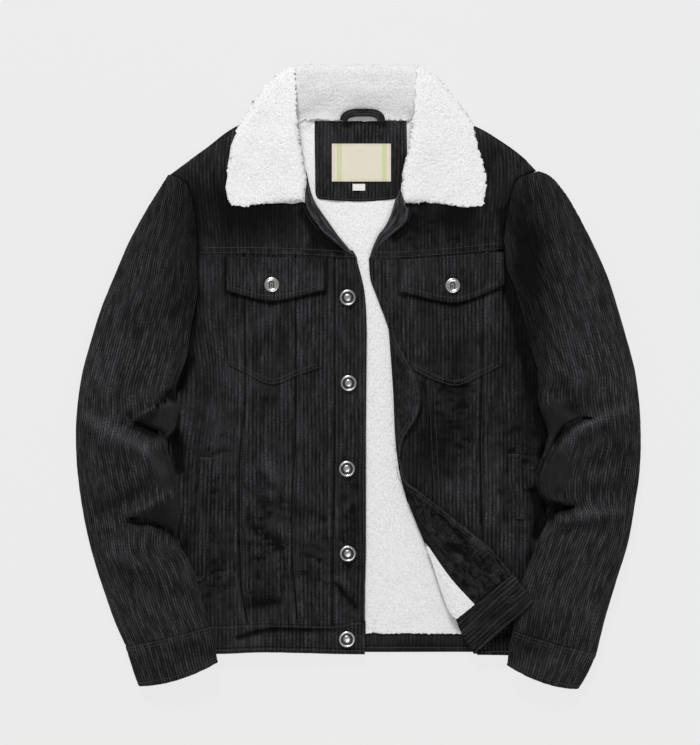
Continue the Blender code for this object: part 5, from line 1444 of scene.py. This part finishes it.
def strip_piece(name, grid, flip):
    """A narrow folded strip whose ribs follow it, with turned edges worn paler along them and painted shade
    along its middle crease.
    """
    x, y = grid[..., 0], grid[..., 1]
    width = np.linalg.norm(grid[:, -1] - grid[:, 0], axis=1)[:, None]
    share = np.linspace(0, 1, grid.shape[1])[None]
    run = run_along(grid[:, 12])[:, None]
    rim = np.minimum(share, 1 - share) * width
    across = share * 13.0 / SLEEVE_RIB
    crease = np.exp(-((share - 0.45 - 0.12 * noise(run / 14, 0.5, 77)) / 0.09) ** 2)
    flat = facing_surface(x, y)
    z = flat + 0.5 * (rib_profile(across) - 0.5) - 1.2 * np.exp(-(rim / 0.8) ** 2) - 0.9 * crease
    # painted shade along the crease and paler bands near the edges
    shade = 0.75 * crease - 0.5 * np.exp(-((rim - 2.0) / 1.2) ** 2)
    shade = shade + 0.3 * noise(run / 9, share * 3, 78) + 0.1
    grain = np.stack([across + 0 * run, run / SLEEVE_RIB + 0 * share, np.clip(shade, -1, 1), 0 * x], -1)
    top = layer(x, y, z)
    SEWN["neck"].append(top[2:-2, 4] + [0, 0, 0.4])
    low = layer(x, y, np.maximum(flat - FACING_WALL, LINING_TOP - 1))
    return two_faced(name, top, low, CORDUROY_WORN, grain, 5, 4, flip)


def make_hanger_loop():
    """A flat band sewn into an arch, thicker along both rims."""
    route = smooth([(x, y, LOOP_FLOOR + z) for x, y, z in LOOP_ROUTE], LOOP_STEPS)
    verts, grain, faces = [], [], []
    for i, point in enumerate(route):
        way = route[min(i + 1, LOOP_STEPS)] - route[max(i - 1, 0)]
        way = way / np.linalg.norm(way)
        side = np.cross(way, (0.0, 0.0, 1.0))
        side /= np.linalg.norm(side)
        up = np.cross(side, way)
        for k in range(LOOP_SEGMENTS):
            angle = 2 * math.pi * k / LOOP_SEGMENTS
            rim = 1.1 + 0.7 * abs(math.cos(angle)) ** 3 + 0.12 * math.cos(i * 1.1)
            verts.append(point + side * LOOP_HALF * math.cos(angle) + up * rim * math.sin(angle))
            grain.append((LOOP_HALF * math.cos(angle) / 3.0, i * 0.24, 0.1, 0.0))
    for i in range(LOOP_STEPS):
        for k in range(LOOP_SEGMENTS):
            a, b = i * LOOP_SEGMENTS + k, i * LOOP_SEGMENTS + (k + 1) % LOOP_SEGMENTS
            faces.append((a, a + LOOP_SEGMENTS, b + LOOP_SEGMENTS, b))
    faces.append(tuple(range(LOOP_SEGMENTS)))
    faces.append(tuple(range(len(verts) - 1, len(verts) - LOOP_SEGMENTS - 1, -1)))
    settle(make_object("hanger_loop_cord", verts, faces, CORDUROY_SLEEVE, grain), "hanger_loop")


# ---- collar -------------------------------------------------------------------------------
def fluffy_piece(node, grid, top, floor, made, flip=False):
    """Sherpa with a pile on its upper face and an uneven edge."""
    x, y = grid[..., 0].copy(), grid[..., 1].copy()
    ring = rim_of(grid)
    rim = away_from(np.vstack([ring, ring[:1]])[::2], x, y)
    near = RAGGED * np.exp(-((rim / 2.5) ** 2))
    x += near * (noise(x / 2.2, y / 2.2, 51) + 0.5 * noise(x / 1.1, y / 1.1, 53))
    y += near * (noise(x / 2.2, y / 2.2, 52) + 0.5 * noise(x / 1.1, y / 1.1, 54))
    upper = layer(x, y, top(x, y, rim) - 1.2 + pile(x, y, COLLAR_PILE))
    piece = two_faced(node + "_pile", upper, layer(x, y, floor(x, y)), made, grid / RIB, 12, 12, flip)
    settle(piece, node)


def make_collar():
    for side, leaf in (("left", COLLAR_LEFT), ("right", COLLAR_RIGHT)):
        outer, inner = leaf["outer"], leaf["inner"]
        grid = patch(outer, inner, leaf["free"], [outer[-1], inner[-1]], 100, 180)

        def top(x, y, rim, roll=inner):
            stand = ramp(y, 296, 316) * ramp(y, 374, 362) * np.exp(-(away_from(roll, x, y) / 9) ** 2)
            return collar_top(roll, x, y, rim + 11 * stand) + 0.9 * noise(x / 24, y / 30, 55)

        fluffy_piece("collar_" + side, grid, top, collar_floor, SHERPA,
                     side == "right")


def make_collar_back():
    """The stretch behind the neck: its inside face and, under that, the fall on the table."""
    def inside_top(x, y, rim):
        rise = 10.8 + 9.7 * ramp(y, NECK_SEAM_Y, 350) + 3.0 * ramp(np.abs(x), 40, 75) * ramp(y, 309, 325)
        swell = noise(x / 22, y / 18, 56) - 1.6 * np.exp(-(((y - 330) / 7) ** 2)) * noise(x / 30, 0.5, 57)
        return rise - 9.0 * (1 - quarter((COLLAR_TOP_Y - y) / 14)) + swell

    # its inside face takes the darker sherpa, painted shade under the collar's roll
    fluffy_piece("collar_back_inside", patch(*COLLAR_BACK, 150, 76), inside_top,
                 lambda x, y: FALL_TOP + SEAM_GAP, SHERPA_SHADED)

    grid = patch(*COLLAR_BACK, 90, 44)
    x, y = grid[..., 0], grid[..., 1]
    turn = quarter((COLLAR_TOP_Y - y) / 10)
    top = layer(x, y, FALL_TOP * (0.45 + 0.55 * turn))
    low = layer(x, y, 1.9 - np.minimum(pile(x, y, 1.8), 1.8) + 1.2 * (1 - turn))
    piece = two_faced("collar_back_fall_pile", low, top, SHERPA, grid / RIB, 8, 8, flip=True)
    settle(piece, "collar_back_fall")


# ---- sleeves ------------------------------------------------------------------------------
def under_height(rest, share, width, outer_z, inner_z, free=1.0):
    """Height of a sleeve's under side, which curves up from where it rests to both seams."""
    outer_turn = 1 - quarter(share * width / OUTER_SEAM_Z)
    inner_turn = (1 - quarter((1 - share) * width / OUTER_SEAM_Z)) * free
    turn = np.maximum(outer_turn, inner_turn)
    return rest * (1 - turn) + outer_z * outer_turn + inner_z * inner_turn - SEAM_GAP * turn


class Sleeve:
    """Upper and under cloth of a sleeve: t runs from shoulder to cuff, share from outer to inner seam."""

    def __init__(self, side, table):
        self.way = 1 if side == "left" else -1
        self.t = np.linspace(0, 1, 321)
        a, b = smooth(table["outer"], self.t), smooth(table["inner"], self.t)
        self.free = ramp(self.t, ARMHOLE_END - 0.06, ARMHOLE_END + 0.06)
        across = b - a
        across /= np.linalg.norm(across, axis=1)[:, None]
        b = b + across * (SEWN_LAP * (1 - self.free))[:, None]
        sewn_z = front_top(*b.T) + LAYER_GAP
        free_z = sleeve_support(*b.T) + SLEEVE_WALL + INNER_SEAM_RISE
        outer_z = OUTER_SEAM_Z * (0.6 + 0.4 * ramp(self.t, 0, 0.1))
        outer_z = np.maximum(outer_z, sleeve_support(*a.T) + SLEEVE_WALL + 1.5)
        self.a = np.column_stack([a, outer_z])
        self.b = np.column_stack([b, sewn_z + (free_z - sewn_z) * self.free])
        self.length = float(run_along((self.a + self.b)[:, :2] / 2)[-1])
        even = np.linspace(0, 1, ARC_STEPS + 1)
        eased = (1 - np.cos(even * math.pi)) / 2
        self.by_arc = {}
        for face in ("top", "under"):
            rows = self.point(face, self.t[:, None], eased[None], False)
            arcs = [run_along(row) for row in rows]
            self.by_arc[face] = np.stack([np.interp(even, arc / arc[-1], eased) for arc in arcs])

    def point(self, face, t, share, creased=True):
        """Places on one side of the sleeve."""
        t, share = np.broadcast_arrays(t, share)
        a, b, free = placed(t, self.t, self.a), placed(t, self.t, self.b), np.interp(t, self.t, self.free)
        if face == "top":
            place = a + (b - a) * share[..., None]
            s = 2 * share - 1
            soft = np.where(s > 0, 0.5 + 0.45 * (1 - free), 0.5)
            lift = np.maximum(0.0, 1 - np.abs(s) ** 2.3) ** soft
            crown = table_value(SLEEVE_CROWN, t)
            x, y = place[..., 0], place[..., 1]
            if creased:
                crown = crown + fold_height(SLEEVE_FOLDS, x, y) * np.minimum(1.0, lift)
                sharp = fold_height(SLEEVE_CREASES, x, y) + hollow_height(x, y)
                crown = crown + sharp * np.minimum(1.0, 1.6 * lift)
                crown = crown + (1.0 * noise(x / 34, y / 40, 81) + 0.5 * noise(x / 15, y / 18, 82)) * lift
            place[..., 2] += np.maximum(crown, -1.5) * lift
            return place
        across = b - a
        across = across / np.linalg.norm(across, axis=-1)[..., None]
        b = b - across * (UNDER_INSET * (1 - free))[..., None]
        place = a + (b - a) * share[..., None]
        x, y = place[..., 0], place[..., 1]
        width = np.linalg.norm((b - a)[..., :2], axis=-1)
        rest = sleeve_support(x, y) * ramp(body_depth(x, y), -15, 1)
        place[..., 2] = under_height(rest, share, width, a[..., 2], b[..., 2], free)
        return place

    def flat(self, grain):
        """The cut of one side, laid flat with its shoulder end at the top."""
        t, width = np.array(grain).T
        half, down = width / 2, -t * self.length
        left = np.column_stack([-half, down])[::-1]
        right = np.column_stack([half, down])[::-1]
        cut = Cut(straight(left, 14), straight(right, 14), [left[0], right[0]], [left[-1], right[-1]],
                  stray=no_lean, grow=0, parts=60, pitch=SLEEVE_RIB)
        cut.ring = np.clip(cut.ring, (-half.max(), down.min()), (half.max(), 0))
        return cut

    def wrap(self, face, grain):
        """Puts points of the flat cut on the sleeve, with the outward direction there."""
        facing = self.way if face == "top" else -self.way
        table = self.by_arc[face]
        last_row, last_column = table.shape[0] - 1, table.shape[1] - 1

        def place(x, y):
            t = np.clip(-y / self.length, 0, 1)
            q = np.clip((facing * x / (table_value(grain, t) / 2) + 1) / 2, 0, 1)
            i, j = t * last_row, q * last_column
            i0, j0 = np.minimum(i.astype(int), last_row - 1), np.minimum(j.astype(int), last_column - 1)
            fi, fj = i - i0, j - j0
            low = table[i0, j0] * (1 - fj) + table[i0, j0 + 1] * fj
            high = table[i0 + 1, j0] * (1 - fj) + table[i0 + 1, j0 + 1] * fj
            return self.point(face, t, low * (1 - fi) + high * fi)

        def wrapped(x, y):
            e = NORMAL_STEP
            normal = np.cross(place(x + e, y) - place(x - e, y), place(x, y + e) - place(x, y - e))
            size = np.linalg.norm(normal, axis=-1)[..., None]
            up = np.array([0, 0, 1.0 if face == "top" else -1.0])
            return place(x, y), np.where(size > 1e-6, normal / np.maximum(size, 1e-6), up)
        return wrapped


def make_sleeve(side, table):
    sleeve = Sleeve(side, table)
    seams = seams_of(bottom=FLUSH)
    lay_cloth("sleeve_top_" + side, sleeve.flat(TOP_GRAIN), sleeve.wrap("top", TOP_GRAIN), SLEEVE_WALL - 0.3,
              seams, CORDUROY_SLEEVE, [f"sleeve_under_{side}_cloth"], shares=SLEEVE_ROWS, nap=sleeve_tone_and_painted_light,
              bare=sleeve_bare)
    lay_cloth("sleeve_under_" + side, sleeve.flat(UNDER_GRAIN), sleeve.wrap("under", UNDER_GRAIN),
              SLEEVE_WALL - 0.3, seams, CORDUROY, ["floor"], spacing=8.0, steps=3)
    make_cuff(side, table, sleeve.way)


def cuff_ring(outer, inner, v, count):
    """Evenly spaced points round the cuff at v of its length, upper side first, and the way round."""
    shares = np.linspace(0, 1, len(outer))
    a, b = placed(v, shares, outer), placed(v, shares, inner)
    crown = SLEEVE_CROWN[-1][1] + (CUFF_CROWN - SLEEVE_CROWN[-1][1]) * v
    a_z = max(OUTER_SEAM_Z, float(sleeve_support(*a)) + SLEEVE_WALL + 1.5)
    b_z = float(sleeve_support(*b)) + SLEEVE_WALL + INNER_SEAM_RISE
    a, b = np.array([*a, a_z]), np.array([*b, b_z])
    share = (1 - np.cos(np.linspace(0, math.pi, 90))) / 2
    upper = a + (b - a) * share[:, None]
    lower = upper.copy()
    x, y = lower[:, 0], lower[:, 1]
    lower[:, 2] = under_height(sleeve_support(x, y), share, np.linalg.norm((b - a)[:2]), a_z, b_z)
    lift = np.sqrt(np.maximum(0.0, 1 - np.abs(2 * share - 1) ** 2.3))
    upper[:, 2] += (crown + 0.8 * noise(x / 15, y / 15, 84)) * lift
    way = outer[-1] + inner[-1] - outer[0] - inner[0]
    bulge = CUFF_BULGE * v ** 3 * np.sin(math.pi * share)[:, None] * way / np.linalg.norm(way)
    upper[:, :2] += bulge
    lower[:, :2] += bulge
    ring = np.vstack([upper, lower[-2:0:-1], upper[:1]])
    run = run_along(ring)
    return placed(np.arange(count) / count * run[-1], run, ring), run[-1]


def make_cuff(side, table, way):
    """A short tube with ribs along the arm, a turned hem and a dark inside."""
    outer, inner = smooth(table["cuff_outer"], 40), smooth(table["cuff_inner"], 40)
    perimeter = cuff_ring(outer, inner, 0.5, 8)[1]
    count = round(perimeter / SLEEVE_RIB) * RIB_STEPS
    long = float(run_along(outer)[-1])
    mouth = long - np.array(CUFF_MOUTH_ROWS)
    downs = np.concatenate([CUFF_TOP_ROWS, np.arange(13, long - 10, 3.0), mouth]) / long
    rings = np.stack([cuff_ring(outer, inner, v, count)[0] for v in downs])
    normal = np.cross(np.roll(rings, -1, 1) - np.roll(rings, 1, 1), np.gradient(rings, axis=0))
    normal /= np.linalg.norm(normal, axis=2)[..., None]
    normal *= np.sign(np.sum(normal * (rings - rings.mean(1)[:, None]), axis=2).mean())
    down, phase = np.broadcast_arrays(downs[:, None] * long, np.arange(count)[None] / RIB_STEPS)
    relief = seam_relief(np.maximum(0.0, down - CUFF_LAP), CUFF_SEAM, phase * SLEEVE_RIB, 91)
    relief += seam_relief(long - down, SINGLE, phase * SLEEVE_RIB, 92)
    relief -= 1.3 * (1 - ramp(down, CUFF_LAP - 0.6, CUFF_LAP + 0.4))
    relief += RIB_HEIGHT * rib_height(phase, np.minimum(down, long - down))
    stitched = [((row + CUFF_LAP) / long, DOUBLE) for row in DOUBLE["stitches"]]
    for at, seam in [*stitched, (1 - CUFF_HEM / long, SINGLE)]:
        j = int(np.argmin(np.abs(downs - at)))
        SEWN["sleeves"].append((rings[j] + normal[j] * (seam["raised"] + 0.25))[:count // 2])
    inside = rings - normal * (SLEEVE_WALL - 0.3)
    grain = np.stack([phase, down / SLEEVE_RIB, tone_and_painted_light(rings[..., 0], rings[..., 1]), 0 * phase], -1)
    verts = points_of(rings + normal * relief[..., None], inside[:, ::RIB_STEPS])
    uv = points_of(grain, grain[:, ::RIB_STEPS])
    piece = make_object(f"cuff_{side}_cloth", verts, tube_faces(len(downs), count, way), CORDUROY_SLEEVE, uv)
    settle(piece, "cuff_" + side)


def tube_faces(rows, count, way):
    """Faces of a tube's outer ring grid, its coarser inner one and both rims."""
    outer = np.arange(rows * count).reshape(rows, count)
    inner = rows * count + np.arange(rows * (count // RIB_STEPS)).reshape(rows, -1)
    after = np.roll(outer, -1, 1)
    skin = np.stack([outer[:-1], outer[1:], after[1:], after[:-1]], -1).reshape(-1, 4).tolist()
    after = np.roll(inner, -1, 1)
    skin += np.stack([inner[:-1], after[:-1], after[1:], inner[1:]], -1).reshape(-1, 4).tolist()
    for row, turned in ((0, False), (rows - 1, True)):
        for m in range(inner.shape[1]):
            n = (m + 1) % inner.shape[1]
            edge = [int(outer[row, (m * RIB_STEPS + k) % count]) for k in range(RIB_STEPS + 1)]
            face = edge + [int(inner[row, n]), int(inner[row, m])]
            skin.append(face[::-1] if turned else face)
    return skin if way > 0 else [face[::-1] for face in skin]


# ---- buttons ------------------------------------------------------------------------------
def make_button(name, x, y, floor, radius, profile, marks=()):
    """A turned disc with painted dark reflections: its groove's rings and, where marks says, dark raised bars
    on its face.
    """
    verts, faces, dark = [], [], []
    for share, z in profile[1:-1]:
        for k in range(BUTTON_SEGMENTS):
            angle = 2 * math.pi * k / BUTTON_SEGMENTS
            reach = radius * share
            verts.append((x + reach * math.cos(angle), y + reach * math.sin(angle), floor + z))
    rings = len(profile) - 2
    for r in range(rings - 1):
        for k in range(BUTTON_SEGMENTS):
            a, b = r * BUTTON_SEGMENTS + k, r * BUTTON_SEGMENTS + (k + 1) % BUTTON_SEGMENTS
            faces.append((a, b, b + BUTTON_SEGMENTS, a + BUTTON_SEGMENTS))
            dark.append(profile is BUTTON_PROFILE and r + 1 in DARK_RINGS)
    faces.append(tuple(range(BUTTON_SEGMENTS))[::-1])
    faces.append(tuple(range((rings - 1) * BUTTON_SEGMENTS, rings * BUTTON_SEGMENTS)))
    piece = make_object(name + "_metal", verts, faces, METAL, sharp=50)
    piece.data.materials.append(METAL_PAINTED_REFLECTION)
    for face, is_dark in zip(piece.data.polygons, dark):
        face.material_index = int(is_dark)
    if marks:
        sides = [(0, 1, 5, 4), (1, 2, 6, 5), (2, 3, 7, 6), (3, 0, 4, 7), (4, 5, 6, 7), (3, 2, 1, 0)]
        for x0, x1, y0, y1 in marks:
            box = [(x + radius * a, y + radius * b, floor + z) for z in (1.9, 3.3)
                   for a, b in ((x0, y0), (x1, y0), (x1, y1), (x0, y1))]
            piece = joined(piece, make_object(name + "_bar", box, sides, METAL_PAINTED_REFLECTION))
        for face in piece.data.polygons[-6 * len(marks):]:
            face.material_index = 1
    settle(piece, name)


def make_buttons():
    def highest(surface, x, y):
        dx, dy = np.meshgrid([-8, 0, 8], [-8, 0, 8])
        return float(surface(x + dx, y + dy).max())

    for number, (x, y) in enumerate(FRONT_BUTTONS, 1):
        floor = highest(front_top, x, y) + SEAM_GAP
        make_button(f"button_front_{number}", x, y, floor, FRONT_BUTTON_RADIUS, BUTTON_PROFILE)
    for side, (x, y) in FLAP_BUTTONS.items():
        floor = highest(front_top, x, y) + 2 * LAYER_GAP + PATCH_WALL + FACING_WALL + 1.2
        make_button("button_flap_" + side, x, y, floor, FLAP_BUTTON_RADIUS, FLAP_PROFILE, FLAP_MARKS)


def thread_ring(x, y, degrees, long, wide, surface, lift):
    """A closed line of stitches round a buttonhole."""
    angle = np.linspace(0, 2 * math.pi, 24)
    c, s = math.cos(math.radians(degrees)), math.sin(math.radians(degrees))
    a, b = long / 2 * np.cos(angle), wide / 2 * np.sin(angle)
    across, up = x + a * c - b * s, y + a * s + b * c
    return layer(across, up, surface(across, up) + lift)


def make_buttonholes():
    """Worked slits on the turned-back corner and the thread above the flap buttons."""
    verts, faces = [], []
    for x, y, degrees, long in BUTTONHOLES:
        for grown in (0.0, 0.9):
            ring = thread_ring(x, y, degrees, long + 2.4 + grown, 4.6 + grown, turned_surface, 0.7)
            SEWN["fronts"].append(ring)
        # a dark plug in each slit, painted shade of its opening
        slit = thread_ring(x, y, degrees, long, 2.6, turned_surface, 1.3)[:-1]
        count, base = len(slit), len(verts)
        verts += list(slit) + list(slit - [0, 0, 1.2])
        faces.append(tuple(range(base, base + count)))
        faces.append(tuple(range(base + 2 * count - 1, base + count - 1, -1)))
        faces += [(base + (k + 1) % count, base + k, base + count + k, base + count + (k + 1) % count)
                  for k in range(count)]
    settle(make_object("buttonhole_slits", verts, faces, SLIT_PAINTED_SHADE), None)
    for x, y in FLAP_BUTTONS.values():
        for grown in (0.0, 1.0):
            ring = thread_ring(x - 1, y + 8.5, 90, 9 + grown, 3.2 + grown, on_front(FLAP_LIFT), 2.3)
            SEWN["fronts"].append(ring)


THREADS = {"label": (LABEL_CLOTH, THREAD * 0.6, "label")}


def make_stitches():
    for group, runs in SEWN.items():
        made, radius, slot = THREADS.get(group, (THREAD_DARK, THREAD, "corduroy"))
        settle(stitch_mesh("stitches_" + group, runs, made, radius), None)


# ---- camera, light and floor --------------------------------------------------------------
def place_in_scene(name, data):
    thing = bpy.data.objects.new(name, data)
    bpy.context.scene.collection.objects.link(thing)
    return thing


def make_stage():
    camera = bpy.data.cameras.new("camera")
    camera.lens = CAMERA_LENS
    camera.sensor_width = 36.0
    camera.clip_end = 20.0
    view = place_in_scene("camera", camera)
    view.location = [size * MM for size in CAMERA_PLACE]
    bpy.context.scene.camera = view

    mesh = bpy.data.meshes.new("floor")
    corners = [(x, y, -0.0006) for x, y in ((-6, -6), (6, -6), (6, 6), (-6, 6))]
    mesh.from_pydata(corners, [], [(0, 1, 2, 3)])
    mesh.materials.append(Finish("floor_pale").constant({
        "Base Color": (0.05, 0.05, 0.05, 1.0), "Roughness": 0.9, "Specular IOR Level": 0.1,
        "Emission Color": (1.0, 1.0, 1.0, 1.0), "Emission Strength": FLOOR_GLOW}))
    floor = place_in_scene("floor", mesh)

    for name, place, size, power in LAMPS:
        light = bpy.data.lights.new(name, "AREA")
        light.shape = "DISK"
        light.size = size
        light.energy = power
        lamp = place_in_scene(name, light)
        lamp.location = place
        lamp.rotation_euler = (-Vector(place)).to_track_quat("-Z", "Y").to_euler()

    world = bpy.data.worlds.new("studio")
    world.use_nodes = True
    background = world.node_tree.nodes["Background"]
    background.inputs["Color"].default_value = (1.0, 1.0, 1.0, 1.0)
    background.inputs["Strength"].default_value = SKY
    bpy.context.scene.world = world
    bpy.context.scene.view_settings.view_transform = "Standard"


make_stage()
make_back()
make_lining()
make_fronts()
make_waistbands()
make_pockets()
make_turned_corner()
make_neck()
make_neck_facings()
make_hanger_loop()
make_collar()
make_collar_back()
make_sleeve("left", SLEEVE_LEFT)
make_sleeve("right", SLEEVE_RIGHT)
make_buttons()
make_buttonholes()
make_stitches()
